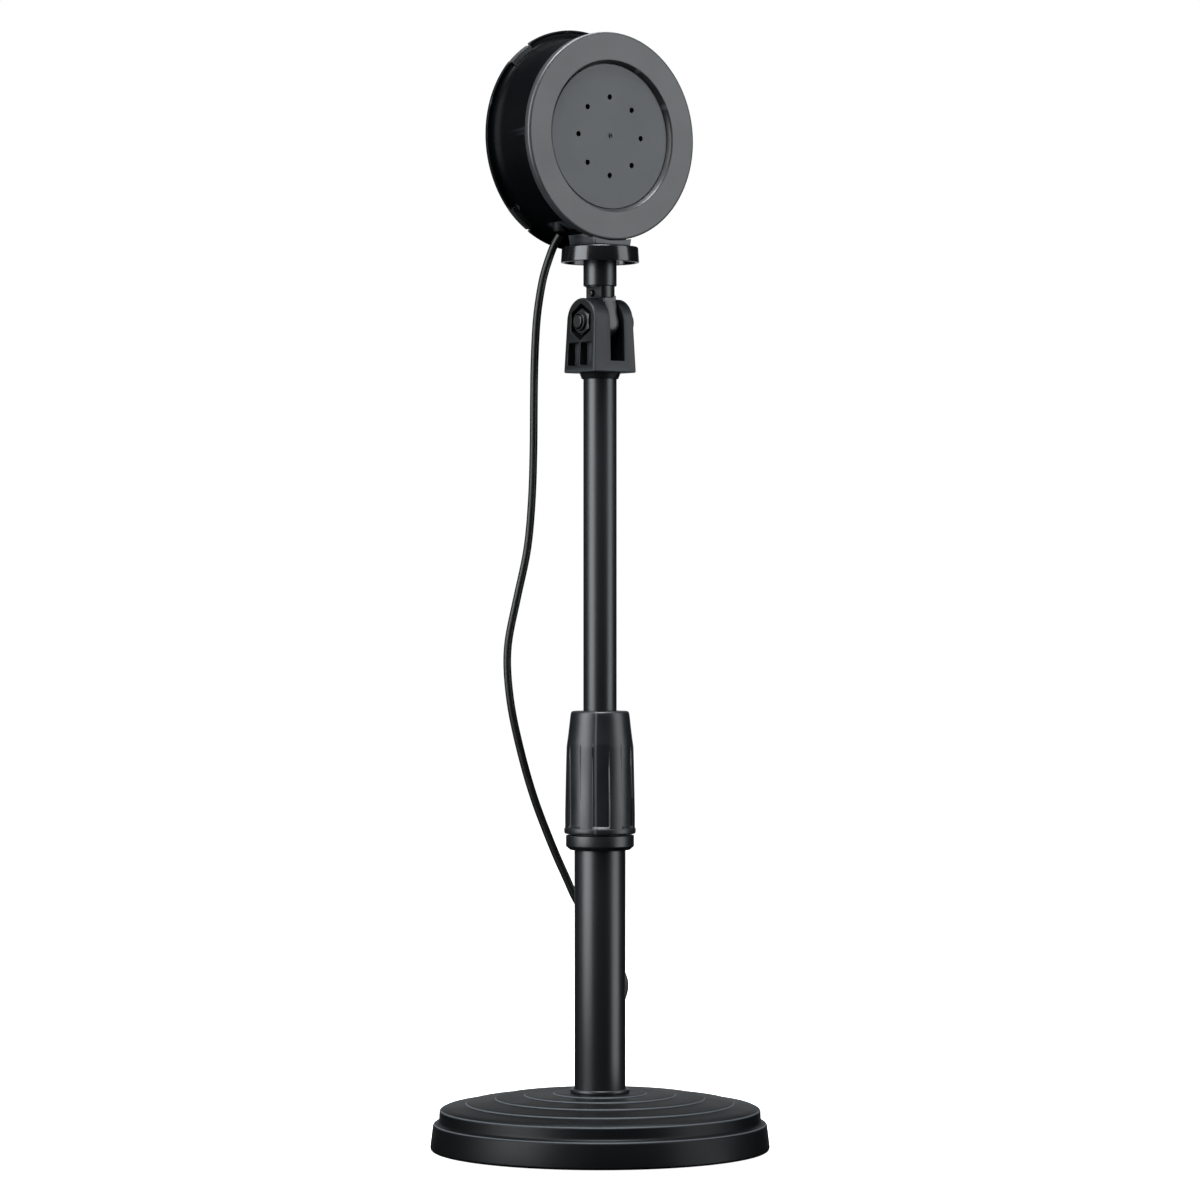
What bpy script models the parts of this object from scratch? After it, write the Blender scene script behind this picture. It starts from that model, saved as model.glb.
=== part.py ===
"""A small round loudspeaker on a telescopic desk stand.

Heights run up from the floor, the front of the speaker faces -Y, and the stand's tubes
share the Z axis.  All sizes are in metres.
"""
import math

import bmesh
import bpy
from mathutils import Matrix, Vector

# ---------------------------------------------------------------- driving dimensions
GAP = 0.0003                    # play between pieces that touch
SIDES = 36                      # facets on large turned pieces
SIDES_SMALL = 14                # facets on screws, bores and pins

# Weighted base
BASE_RADIUS = 0.0730
BASE_BAND_WIDTH = 0.0040        # the shoulder round the raised top
BASE_FIRST_RING = 0.0198
BASE_RING_SPACING = 0.01253
BASE_BAND_HEIGHT = 0.0113
BASE_STEP_HEIGHT = 0.0175
BASE_TOP = 0.0248
BASE_RING_DROP = 0.0006
BASE_WALL = 0.0025
FOOT_PAD_HEIGHT = 0.0012
WEIGHT_MARGIN = 0.0090          # between the weight and the raised top's edge
WEIGHT_THICKNESS = 0.0060

# Tubes
LOWER_TUBE_RADIUS = 0.0110
LOWER_TUBE_WALL = 0.0012
POLE_RADIUS = 0.00717
POLE_WALL = 0.0010
POLE_SHOWN = 0.1452             # pole seen between the collar and the yoke
POLE_HIDDEN = 0.0920            # pole held inside the collar and the lower tube

# Clamp
FERRULE_RADIUS = 0.01465
FERRULE_BOTTOM = 0.1290
FERRULE_HEIGHT = 0.0063
COLLAR_BAND_RADIUS = 0.0154
COLLAR_BODY_RADIUS = 0.01505
COLLAR_RECESS_RADIUS = 0.0142
COLLAR_TOP_RADIUS = 0.0127
COLLAR_HEIGHT = 0.0527
COLLAR_RECESSES = 7
COLLAR_RECESS_ANGLE = math.radians(28.4)
COLLAR_FIRST_RIB = math.radians(-100.0)

# Yoke and tilting post
YOKE_WIDTH_BOTTOM = 0.0229
YOKE_WIDTH_TOP = 0.0207
YOKE_DEPTH_BOTTOM = 0.0217
YOKE_ARCH_RADIUS = 0.0102
YOKE_BOLT_HEIGHT = 0.0217       # bolt axis above the yoke's underside
YOKE_SLOT_FLOOR = 0.0049
SLOT_WIDTH = 0.0075
SLOT_OFFSET = 0.00145           # the slot sits off centre, beside the thicker cheek
BOLT_RADIUS = 0.0030
NUT_CROWN_WALL = 0.0006
NUT_FLATS = 0.0100
NUT_POCKET_FLATS = 0.0137
NUT_POCKET_DEPTH = 0.0050
TONGUE_RADIUS = 0.0080
NECK_RADIUS = 0.0063
NECK_HEIGHT = 0.0050
NECK_FLAT = -0.0034            # the neck is cut away on this side of its window
POST_RADIUS = 0.00717
POST_SHOWN = 0.0101             # post seen between the neck and the knob
STUD_RADIUS = 0.0030
PAN_NUT_RADIUS = 0.0052

# Lock knob and mount foot
KNOB_RADIUS = 0.0169
KNOB_TOP_RADIUS = 0.0164
KNOB_HEIGHT = 0.0068
KNOB_RIM = 0.0015
KNOB_WEB = 0.0038
FOOT_HEIGHT = 0.0038            # mount foot at its thinnest, under the drum
FOOT_WIDTH_TOP = 0.0220
FOOT_WIDTH_BOTTOM = 0.0191
FOOT_FRONT = 0.0092
FOOT_BACK = 0.0090

# Speaker head: depths are measured forward (+) and back (-) from the stand's axis
DRUM_RADIUS = 0.0430
DRUM_WALL = 0.0020
FACE_OVERHANG = 0.0015          # the front ring stands out past the drum
FACE_FRONT = 0.0090
FACE_RING_DEPTH = 0.0033
FACE_BEVEL = 0.0012
FACE_RING_WIDTH = 0.0121
RECESS_SLOPE = 0.0011
RECESS_DEPTH = 0.0021
SOUND_HOLE_CIRCLE = 0.0168
SOUND_HOLE_RADIUS = 0.0012
SOUND_HOLES = 8
FLANGE_WIDTH = 0.0047
FLANGE_BACK = -0.0183
FLANGE_THICKNESS = 0.0009
FLANGE_LIP = 0.0014
FLARE_START = -0.0120
FLARE_WIDTH = 0.0028
NOTCH_ANGLE = math.radians(16.0)
NOTCH_PLACES = (50.0, 130.0, 230.0, 310.0)
NOTCH_START = 0.0011            # outside the drum's wall
COVER_THICKNESS = 0.0018
DRIVER_MARGIN = 0.0006          # the chassis reaches past the recess
DRIVER_SCREW_INSET = 0.0024
DRIVER_THROAT = 0.0150

# Cord
CORD_RADIUS = 0.00175
CORD_EXIT = (-0.0185, 0.0041)   # where the cord leaves the drum, in X and Y
COIL_CENTRE = (0.0662, 0.0866)
COIL_INNER_RADIUS = 0.0113
COIL_OUTER_RADIUS = 0.0267
COIL_LIFT = 0.0012
COIL_HEIGHT = 0.0073
CORD_ROUTE = (
    (-0.0185, 0.0041, 0.3925), (-0.0198, 0.0070, 0.3875), (-0.0210, 0.0110, 0.3781),
    (-0.0217, 0.0134, 0.3695), (-0.0222, 0.0157, 0.3566), (-0.0223, 0.0171, 0.3394),
    (-0.0220, 0.0180, 0.3223), (-0.0209, 0.0198, 0.3008), (-0.0206, 0.0214, 0.2793),
    (-0.0213, 0.0238, 0.2578), (-0.0243, 0.0274, 0.2363), (-0.0266, 0.0310, 0.2148),
    (-0.0251, 0.0311, 0.1933), (-0.0205, 0.0300, 0.1718), (-0.0147, 0.0276, 0.1503),
    (-0.0075, 0.0236, 0.1289), (-0.0025, 0.0208, 0.1160), (0.0014, 0.0184, 0.1061),
    (0.0097, 0.0127, 0.0890), (0.0149, 0.0070, 0.0780), (0.0163, 0.0037, 0.0700),
    (0.0157, 0.0067, 0.0610), (0.0136, 0.0129, 0.0490), (0.0144, 0.0205, 0.0380),
    (0.0169, 0.0264, 0.0302), (0.0199, 0.0326, 0.0267), (0.0264, 0.0428, 0.0249),
    (0.0305, 0.0497, 0.0234), (0.0339, 0.0554, 0.0214), (0.0368, 0.0602, 0.0183),
    (0.0391, 0.0638, 0.0136), (0.0401, 0.0663, 0.0082), (0.0405, 0.0692, 0.0042),
    (0.0400, 0.0730, 0.0024), (0.0388, 0.0777, 0.0019), (0.0378, 0.0837, 0.0019),
    (0.0378, 0.0899, 0.0019),
)
CORD_AT_POST = 0.3630           # height where the cord passes from the head to the post
CORD_AT_POLE = 0.3310           # height where it passes from the post to the pole
TAIL_ROUTE = (
    (0.0795, 0.0607, 0.0042), (0.0789, 0.0571, 0.0030), (0.0800, 0.0537, 0.0022),
    (0.0829, 0.0514, 0.0022), (0.0867, 0.0515, 0.0030), (0.0902, 0.0542, 0.0039),
    (0.0932, 0.0578, 0.0041),
)
PLUG_RADIUS = 0.0040
PLUG_LENGTH = 0.0220
PLUG_PIN_RADIUS = 0.00175
PLUG_PIN_LENGTH = 0.0140
TIE_WIDTH = 0.0060
TIE_THICKNESS = 0.0008

# ---------------------------------------------------------------- sizes worked out
BASE_STEP_RADIUS = BASE_RADIUS - BASE_BAND_WIDTH
BASE_RINGS = int((BASE_STEP_RADIUS - 0.0040 - BASE_FIRST_RING) / BASE_RING_SPACING) + 1
BASE_RING_RADII = [BASE_FIRST_RING + i * BASE_RING_SPACING for i in range(BASE_RINGS)]
WEIGHT_RADIUS = BASE_STEP_RADIUS - WEIGHT_MARGIN
FACE_RADIUS = DRUM_RADIUS + FACE_OVERHANG
RECESS_RADIUS = FACE_RADIUS - FACE_RING_WIDTH
FLANGE_RADIUS = DRUM_RADIUS + FLANGE_WIDTH
FLARE_RADIUS = DRUM_RADIUS + FLARE_WIDTH
NOTCH_INNER_RADIUS = DRUM_RADIUS + NOTCH_START
DRIVER_RADIUS = RECESS_RADIUS + DRIVER_MARGIN
DRIVER_SCREW_CIRCLE = DRIVER_RADIUS - DRIVER_SCREW_INSET
FERRULE_TOP = FERRULE_BOTTOM + FERRULE_HEIGHT
COLLAR_BOTTOM = FERRULE_TOP + 2 * GAP
COLLAR_TOP = COLLAR_BOTTOM + COLLAR_HEIGHT
YOKE_BOTTOM = COLLAR_TOP + POLE_SHOWN
BOLT_HEIGHT = YOKE_BOTTOM + YOKE_BOLT_HEIGHT
YOKE_TOP = BOLT_HEIGHT + YOKE_ARCH_RADIUS
NECK_BOTTOM = YOKE_TOP + GAP
NECK_TOP = NECK_BOTTOM + NECK_HEIGHT
KNOB_BOTTOM = NECK_TOP + POST_SHOWN
KNOB_TOP = KNOB_BOTTOM + KNOB_HEIGHT
FOOT_BOTTOM = KNOB_TOP + GAP
HEAD_HEIGHT = FOOT_BOTTOM + FOOT_HEIGHT + DRUM_RADIUS
LOWER_TUBE_BORE = LOWER_TUBE_RADIUS - LOWER_TUBE_WALL
POLE_BORE = POLE_RADIUS - POLE_WALL
POLE_BOTTOM = COLLAR_TOP - POLE_HIDDEN
HEAD_TURN = Matrix.Rotation(math.pi / 2, 4, "X")
HEAD_PLACE = Matrix.Translation((0, 0, HEAD_HEIGHT)) @ HEAD_TURN


# ---------------------------------------------------------------- scene and materials
def clear_scene():
    for item in list(bpy.data.objects):
        bpy.data.objects.remove(item, do_unlink=True)


def new_collection(name):
    collection = bpy.data.collections.new(name)
    bpy.context.scene.collection.children.link(collection)
    return collection


def new_material(name, colour, roughness, metallic=0.0):
    material = bpy.data.materials.new(name)
    material.use_nodes = True
    shader = material.node_tree.nodes["Principled BSDF"]
    shader.inputs["Base Color"].default_value = (*colour, 1.0)
    shader.inputs["Roughness"].default_value = roughness
    shader.inputs["Metallic"].default_value = metallic
    return material


clear_scene()
PARTS = new_collection("desk_speaker")
CUTTERS = new_collection("cutters")
BLACK_PLASTIC = new_material("black_plastic", (0.028, 0.029, 0.031), 0.45)
GLOSS_PLASTIC = new_material("gloss_plastic", (0.016, 0.016, 0.018), 0.15)
BLACK_PAINT = new_material("black_paint", (0.022, 0.023, 0.025), 0.32)
RUBBER = new_material("rubber", (0.020, 0.020, 0.020), 0.80)
STEEL = new_material("steel", (0.55, 0.55, 0.56), 0.30, 1.0)
PAPER = new_material("cone_paper", (0.035, 0.034, 0.033), 0.85)
BOARD = new_material("board", (0.02, 0.13, 0.06), 0.50)
MESH_CLOTH = new_material("mesh_cloth", (0.015, 0.015, 0.016), 0.90)


# ---------------------------------------------------------------- shape helpers
def mesh_object(name, mesh, material=None):
    """Put a mesh in the parts collection, or among the cutters when it has no material."""
    piece = bpy.data.objects.new(name, mesh)
    if material:
        mesh.materials.append(material)
        PARTS.objects.link(piece)
    else:
        CUTTERS.objects.link(piece)
        piece.hide_render = True
        piece.display_type = "WIRE"
    return piece


def box(name, low, high, material=None):
    shape = bmesh.new()
    bmesh.ops.create_cube(shape, size=1.0)
    low = Vector(low)
    size = Vector(high) - low
    for vertex in shape.verts:
        vertex.co = low + Vector(size[i] * (vertex.co[i] + 0.5) for i in range(3))
    mesh = bpy.data.meshes.new(name)
    shape.to_mesh(mesh)
    shape.free()
    return mesh_object(name, mesh, material)


def rod(name, radius, start, end, material=None, sides=SIDES_SMALL):
    """A straight round or, with six sides, hexagonal bar between two points."""
    start = Vector(start)
    along = Vector(end) - start
    turn = along.to_track_quat("Z", "Y").to_matrix().to_4x4()
    place = Matrix.Translation(start + along / 2) @ turn
    shape = bmesh.new()
    bmesh.ops.create_cone(shape, cap_ends=True, segments=sides, radius1=radius,
                          radius2=radius, depth=along.length, matrix=place)
    mesh = bpy.data.meshes.new(name)
    shape.to_mesh(mesh)
    shape.free()
    mesh.shade_smooth()
    mesh.set_sharp_from_angle(angle=math.radians(35))
    return mesh_object(name, mesh, material)


def turned(name, profile, material=None, closed=False, sides=SIDES):
    """Turn a profile of (radius, height) points, listed from top to bottom, about Z."""
    shape = bmesh.new()
    points = [shape.verts.new((radius, 0, height)) for radius, height in profile]
    for first, second in zip(points, points[1:]):
        shape.edges.new((first, second))
    if closed:
        shape.edges.new((points[-1], points[0]))
    mesh = bpy.data.meshes.new(name)
    shape.to_mesh(mesh)
    shape.free()
    piece = mesh_object(name, mesh, material)
    screw = piece.modifiers.new("turn", "SCREW")
    screw.axis = "Z"
    screw.steps = sides
    screw.render_steps = sides
    screw.use_merge_vertices = True
    screw.merge_threshold = 0.00001
    return piece


def flat_piece(name, outlines, thickness, material=None, place=Matrix.Identity(4)):
    """Extrude closed outlines, centred on their plane, and weld the result to one mesh."""
    curve = bpy.data.curves.new(name, "CURVE")
    curve.dimensions = "2D"
    curve.fill_mode = "BOTH"
    curve.extrude = thickness / 2
    for outline in outlines:
        spline = curve.splines.new("POLY")
        spline.points.add(len(outline) - 1)
        for point, (across, up) in zip(spline.points, outline):
            point.co = (across, up, 0, 1)
        spline.use_cyclic_u = True
    drawing = bpy.data.objects.new(name + "_outline", curve)
    CUTTERS.objects.link(drawing)
    bpy.context.view_layer.update()
    solid = drawing.evaluated_get(bpy.context.evaluated_depsgraph_get())
    mesh = bpy.data.meshes.new_from_object(solid)
    mesh.materials.clear()
    bpy.data.objects.remove(drawing)
    weld(mesh)
    mesh.transform(place)
    mesh.name = name
    return mesh_object(name, mesh, material)


def weld(mesh):
    shape = bmesh.new()
    shape.from_mesh(mesh)
    bmesh.ops.remove_doubles(shape, verts=shape.verts, dist=0.000005)
    bmesh.ops.recalc_face_normals(shape, faces=shape.faces)
    shape.to_mesh(mesh)
    shape.free()


def combine(piece, other, operation="DIFFERENCE"):
    """Cut a piece with another shape, or join or intersect the two."""
    change = piece.modifiers.new(operation.lower(), "BOOLEAN")
    change.operation = operation
    change.solver = "EXACT"
    change.object = other
    return piece


def arc(centre, radius, start, end, steps):
    """Points along an arc, with its angles in degrees."""
    angles = [math.radians(start + (end - start) * i / steps) for i in range(steps + 1)]
    return [(centre[0] + radius * math.cos(a), centre[1] + radius * math.sin(a)) for a in angles]


def sector(inner, outer, middle, spread, steps=3):
    """Outline of a piece of ring about a middle angle; both angles in radians."""
    first = math.degrees(middle - spread / 2)
    last = math.degrees(middle + spread / 2)
    return arc((0, 0), outer, first, last, steps) + arc((0, 0), inner, last, first, steps)


def smooth_route(points, spacing):
    """Evenly spaced points on a smooth curve through the given ones."""
    points = [Vector(p) for p in points]
    ends = [2 * points[0] - points[1]] + points + [2 * points[-1] - points[-2]]
    dense = []
    for before, start, end, after in zip(ends, ends[1:], ends[2:], ends[3:]):
        for i in range(12):
            t = i / 12
            dense.append(0.5 * (2 * start + (end - before) * t
                                + (2 * before - 5 * start + 4 * end - after) * t ** 2
                                + (3 * start - before - 3 * end + after) * t ** 3))
    dense.append(points[-1])
    length = sum((b - a).length for a, b in zip(dense, dense[1:]))
    step = length / max(2, round(length / spacing))
    path = [dense[0]]
    walked = 0.0
    for a, b in zip(dense, dense[1:]):
        span = (b - a).length
        while walked + span >= step * len(path) - 1e-9 and len(path) * step < length - step / 2:
            path.append(a.lerp(b, (step * len(path) - walked) / span))
        walked += span
    return path + [dense[-1]]


def cord_piece(name, path):
    """A round cord along a path of points."""
    curve = bpy.data.curves.new(name, "CURVE")
    curve.dimensions = "3D"
    curve.bevel_depth = CORD_RADIUS
    curve.bevel_resolution = 2
    curve.use_fill_caps = True
    spline = curve.splines.new("POLY")
    spline.points.add(len(path) - 1)
    for point, place in zip(spline.points, path):
        point.co = (*place, 1)
    curve.materials.append(BLACK_PLASTIC)
    piece = bpy.data.objects.new(name, curve)
    PARTS.objects.link(piece)
    return piece


def joint_empty(name, height):
    empty = bpy.data.objects.new(name, None)
    empty.location = (0, 0, height)
    empty.empty_display_size = 0.02
    bpy.context.scene.collection.objects.link(empty)
    return empty


def hold(empty, *pieces):
    """Hang pieces on a joint's empty without moving them."""
    for piece in pieces:
        piece.parent = empty
        piece.matrix_parent_inverse = Matrix.Translation(empty.location).inverted()


# ---------------------------------------------------------------- base and lower tube
def base_profile():
    """Outer side of the base shell, from the tube's bore out and down, then back inside."""
    bore = LOWER_TUBE_RADIUS + GAP
    reach = BASE_STEP_RADIUS - BASE_RING_RADII[0]
    fall = BASE_TOP - BASE_STEP_HEIGHT - BASE_RING_DROP

    def dome(radius):
        share = (radius - BASE_RING_RADII[0]) / reach
        return BASE_TOP - fall * share ** 1.7

    points = [(bore, BASE_TOP)]
    for radius in BASE_RING_RADII:
        points.append((radius, dome(radius)))
        points.append((radius + 0.0004, dome(radius) - BASE_RING_DROP))
    cove = (BASE_BAND_HEIGHT + BASE_STEP_HEIGHT) / 2
    points += [(BASE_STEP_RADIUS - 0.0008, BASE_STEP_HEIGHT), (BASE_STEP_RADIUS, BASE_STEP_HEIGHT - 0.0008),
               (BASE_STEP_RADIUS + 0.0003, cove), (BASE_RADIUS - 0.0024, BASE_BAND_HEIGHT + 0.0009),
               (BASE_RADIUS - 0.0012, BASE_BAND_HEIGHT), (BASE_RADIUS, 0.0015),
               (BASE_RADIUS - 0.0006, 0.0005)]
    points += [(BASE_RADIUS - BASE_WALL, 0.0005),
               (BASE_RADIUS - 0.0012 - BASE_WALL, BASE_BAND_HEIGHT - BASE_WALL),
               (BASE_STEP_RADIUS - BASE_WALL, BASE_STEP_HEIGHT - BASE_WALL - 0.0012)]
    for radius in (BASE_RING_RADII[-1], BASE_RING_RADII[1]):
        points.append((radius, dome(radius) - BASE_RING_DROP - BASE_WALL))
    points.append((bore, BASE_TOP - BASE_RING_DROP - BASE_WALL))
    return points


def make_base():
    plate_bottom = FOOT_PAD_HEIGHT + GAP
    plate_top = plate_bottom + 0.0012
    head_bottom = plate_top + GAP
    head_top = head_bottom + 0.0030
    washer_bottom = head_top + GAP
    washer_top = washer_bottom + 0.0010
    weight_bottom = washer_top + GAP
    weight_top = weight_bottom + WEIGHT_THICKNESS
    bolt_radius = 0.0040
    turned("base_shell", base_profile(), BLACK_PLASTIC, closed=True, sides=44)
    pad_outer = BASE_STEP_RADIUS - 0.0030
    pad_inner = pad_outer - 0.0050
    turned("foot_pad_ring", [(pad_outer, FOOT_PAD_HEIGHT), (pad_outer, 0.0), (pad_inner, 0.0),
                             (pad_inner, FOOT_PAD_HEIGHT)], RUBBER, closed=True)
    turned("base_plate", [(0, plate_top), (BASE_RADIUS - BASE_WALL - 2 * GAP, plate_top),
                          (BASE_RADIUS - BASE_WALL - 2 * GAP, plate_bottom), (0, plate_bottom)], BLACK_PAINT)
    turned("base_weight", [(WEIGHT_RADIUS, weight_top), (WEIGHT_RADIUS, weight_bottom),
                           (bolt_radius + GAP, weight_bottom), (bolt_radius + GAP, weight_top)],
           STEEL, closed=True)
    turned("bolt_washer", [(0.0085, washer_top), (0.0085, washer_bottom),
                           (bolt_radius + GAP, washer_bottom), (bolt_radius + GAP, washer_top)],
           STEEL, closed=True, sides=SIDES_SMALL)
    tube_bottom = weight_top + GAP
    plug_bottom = tube_bottom
    plug_top = plug_bottom + 0.0120
    bolt = rod("tube_bolt", 0.0075, (0, 0, head_bottom), (0, 0, head_top), STEEL, sides=6)
    shank = rod("tube_bolt_shank", bolt_radius, (0, 0, head_bottom + 0.001), (0, 0, plug_top - 0.002))
    combine(bolt, shank, "UNION")
    plug_radius = LOWER_TUBE_BORE - GAP
    turned("tube_plug", [(plug_radius, plug_top), (plug_radius, plug_bottom),
                         (bolt_radius + GAP, plug_bottom), (bolt_radius + GAP, plug_top)],
           BLACK_PLASTIC, closed=True, sides=SIDES_SMALL)
    turned("lower_tube", [(LOWER_TUBE_RADIUS, FERRULE_TOP), (LOWER_TUBE_RADIUS, tube_bottom),
                          (LOWER_TUBE_BORE, tube_bottom), (LOWER_TUBE_BORE, FERRULE_TOP)],
           BLACK_PAINT, closed=True, sides=24)
    ring_bottom = BASE_TOP + GAP
    turned("tube_foot_ring", [(LOWER_TUBE_RADIUS + 0.0013, ring_bottom + 0.0014),
                              (LOWER_TUBE_RADIUS + 0.0017, ring_bottom + 0.0010),
                              (LOWER_TUBE_RADIUS + 0.0017, ring_bottom),
                              (LOWER_TUBE_RADIUS + GAP, ring_bottom),
                              (LOWER_TUBE_RADIUS + GAP, ring_bottom + 0.0014)],
           BLACK_PLASTIC, closed=True, sides=24)


# ---------------------------------------------------------------- clamp and collar
def make_clamp():
    bore = LOWER_TUBE_RADIUS + GAP
    turned("ferrule_ring", [(FERRULE_RADIUS - 0.0004, FERRULE_TOP), (FERRULE_RADIUS, FERRULE_TOP - 0.0004),
                            (FERRULE_RADIUS, FERRULE_BOTTOM + 0.0016),
                            (FERRULE_RADIUS - 0.0018, FERRULE_BOTTOM), (bore, FERRULE_BOTTOM),
                            (bore, FERRULE_TOP)], BLACK_PLASTIC, closed=True, sides=24)
    slide = POLE_RADIUS + GAP
    thread_bottom = FERRULE_TOP + GAP
    thread_top = thread_bottom + 0.0150
    finger_top = COLLAR_TOP - 0.0080
    bush = turned("clamp_bush", [(slide + 0.0016, finger_top), (COLLAR_RECESS_RADIUS - 0.0026, thread_top),
                                 (COLLAR_RECESS_RADIUS - 0.0016, thread_top - 0.0004),
                                 (COLLAR_RECESS_RADIUS - 0.0016, thread_bottom),
                                 (LOWER_TUBE_BORE - GAP, thread_bottom),
                                 (LOWER_TUBE_BORE - GAP, thread_bottom - 0.0180),
                                 (slide, thread_bottom - 0.0180), (slide, finger_top)],
                  BLACK_PLASTIC, closed=True, sides=24)
    for number in range(2):
        slit = box("bush_slit_%d" % (number + 1), (-0.0150, -0.0006, thread_top + 0.0040),
                   (0.0150, 0.0006, finger_top + 0.0050))
        slit.rotation_euler = (0, 0, math.pi / 4 + number * math.pi / 2)
        combine(bush, slit)


def make_collar(empty):
    low = COLLAR_BOTTOM
    top = COLLAR_TOP
    band_top = low + 0.0026
    taper_start = low + 0.72 * COLLAR_HEIGHT
    inner = COLLAR_RECESS_RADIUS - 0.0016 + GAP
    mouth = POLE_RADIUS + GAP
    cone_end = mouth + 0.0022
    profile = [(COLLAR_TOP_RADIUS - 0.0014, top), (COLLAR_TOP_RADIUS - 0.0004, top - 0.0005),
               (COLLAR_TOP_RADIUS, top - 0.0015), (COLLAR_TOP_RADIUS + 0.0008, top - 0.0070),
               (COLLAR_RECESS_RADIUS + 0.00015, taper_start),
               (COLLAR_BODY_RADIUS, band_top + 0.0060), (COLLAR_BODY_RADIUS, band_top),
               (COLLAR_BAND_RADIUS, band_top - 0.0003), (COLLAR_BAND_RADIUS, low + 0.0010),
               (COLLAR_BAND_RADIUS - 0.0010, low), (inner, low), (inner, low + 0.0170),
               (cone_end, top - 0.0076), (mouth, top - 0.0070), (mouth, top)]
    collar = turned("lock_collar", profile, BLACK_PLASTIC, closed=True, sides=COLLAR_RECESSES * 5)
    spacing = 2 * math.pi / COLLAR_RECESSES
    height = top - band_top + 0.0100
    for number in range(COLLAR_RECESSES):
        middle = COLLAR_FIRST_RIB + (number + 0.5) * spacing
        outline = sector(COLLAR_RECESS_RADIUS, COLLAR_BAND_RADIUS + 0.0020, middle, COLLAR_RECESS_ANGLE)
        lift = Matrix.Translation((0, 0, band_top + 0.0003 + height / 2))
        combine(collar, flat_piece("recess_%d" % (number + 1), [outline], height, place=lift))
    hold(empty, collar)


# ---------------------------------------------------------------- sliding pole and yoke
def make_pole(empty):
    tube_top = YOKE_BOTTOM - GAP
    tube = turned("upper_tube", [(POLE_RADIUS, tube_top), (POLE_RADIUS, POLE_BOTTOM),
                                 (POLE_BORE, POLE_BOTTOM), (POLE_BORE, tube_top)],
                  BLACK_PAINT, closed=True, sides=22)
    guide = LOWER_TUBE_BORE - GAP
    spigot = POLE_BORE - GAP
    bush = turned("pole_end_bush", [(0, POLE_BOTTOM + 0.0100), (spigot, POLE_BOTTOM + 0.0100),
                                    (spigot, POLE_BOTTOM - GAP), (guide, POLE_BOTTOM - GAP),
                                    (guide, POLE_BOTTOM - 0.0080), (0, POLE_BOTTOM - 0.0080)],
                  BLACK_PLASTIC, sides=24)
    yoke = make_yoke()
    outer = -YOKE_WIDTH_TOP / 2
    pocket_floor = outer + NUT_POCKET_DEPTH
    right = YOKE_WIDTH_TOP / 2
    seat = right - 0.0004
    nut_start = pocket_floor - GAP
    bolt = rod("tilt_bolt", 0.0053, (seat + 0.0013 + 2 * GAP, 0, BOLT_HEIGHT),
               (seat + 0.0046, 0, BOLT_HEIGHT), STEEL, sides=22)
    shank = rod("tilt_bolt_shank", BOLT_RADIUS - GAP / 2, (seat + 0.0030, 0, BOLT_HEIGHT),
                (nut_start - 0.0068, 0, BOLT_HEIGHT))
    socket = rod("tilt_bolt_socket", 0.0023, (seat + 0.0022, 0, BOLT_HEIGHT),
                 (seat + 0.0060, 0, BOLT_HEIGHT), sides=6)
    combine(bolt, shank, "UNION")
    combine(bolt, socket)
    nut = rod("tilt_nut", NUT_FLATS / math.sqrt(3), (nut_start, 0, BOLT_HEIGHT),
              (nut_start - 0.0046, 0, BOLT_HEIGHT), STEEL, sides=6)
    crown = rod("tilt_nut_crown", BOLT_RADIUS + GAP + NUT_CROWN_WALL, (nut_start - 0.0030, 0, BOLT_HEIGHT),
                (nut_start - 0.0060, 0, BOLT_HEIGHT))
    bore = rod("tilt_nut_bore", BOLT_RADIUS + GAP, (nut_start + 0.0020, 0, BOLT_HEIGHT),
               (nut_start - 0.0090, 0, BOLT_HEIGHT))
    combine(nut, crown, "UNION")
    combine(nut, bore)
    washer = rod("tilt_washer", 0.0062, (seat + GAP, 0, BOLT_HEIGHT),
                 (seat + GAP + 0.0013, 0, BOLT_HEIGHT), STEEL, sides=22)
    combine(washer, bore_through("tilt_washer_bore", seat))
    hold(empty, tube, bush, yoke, bolt, nut, washer)


def bore_through(name, along_x):
    return rod(name, BOLT_RADIUS + GAP, (along_x - 0.0040, 0, BOLT_HEIGHT),
               (along_x + 0.0060, 0, BOLT_HEIGHT))


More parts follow.
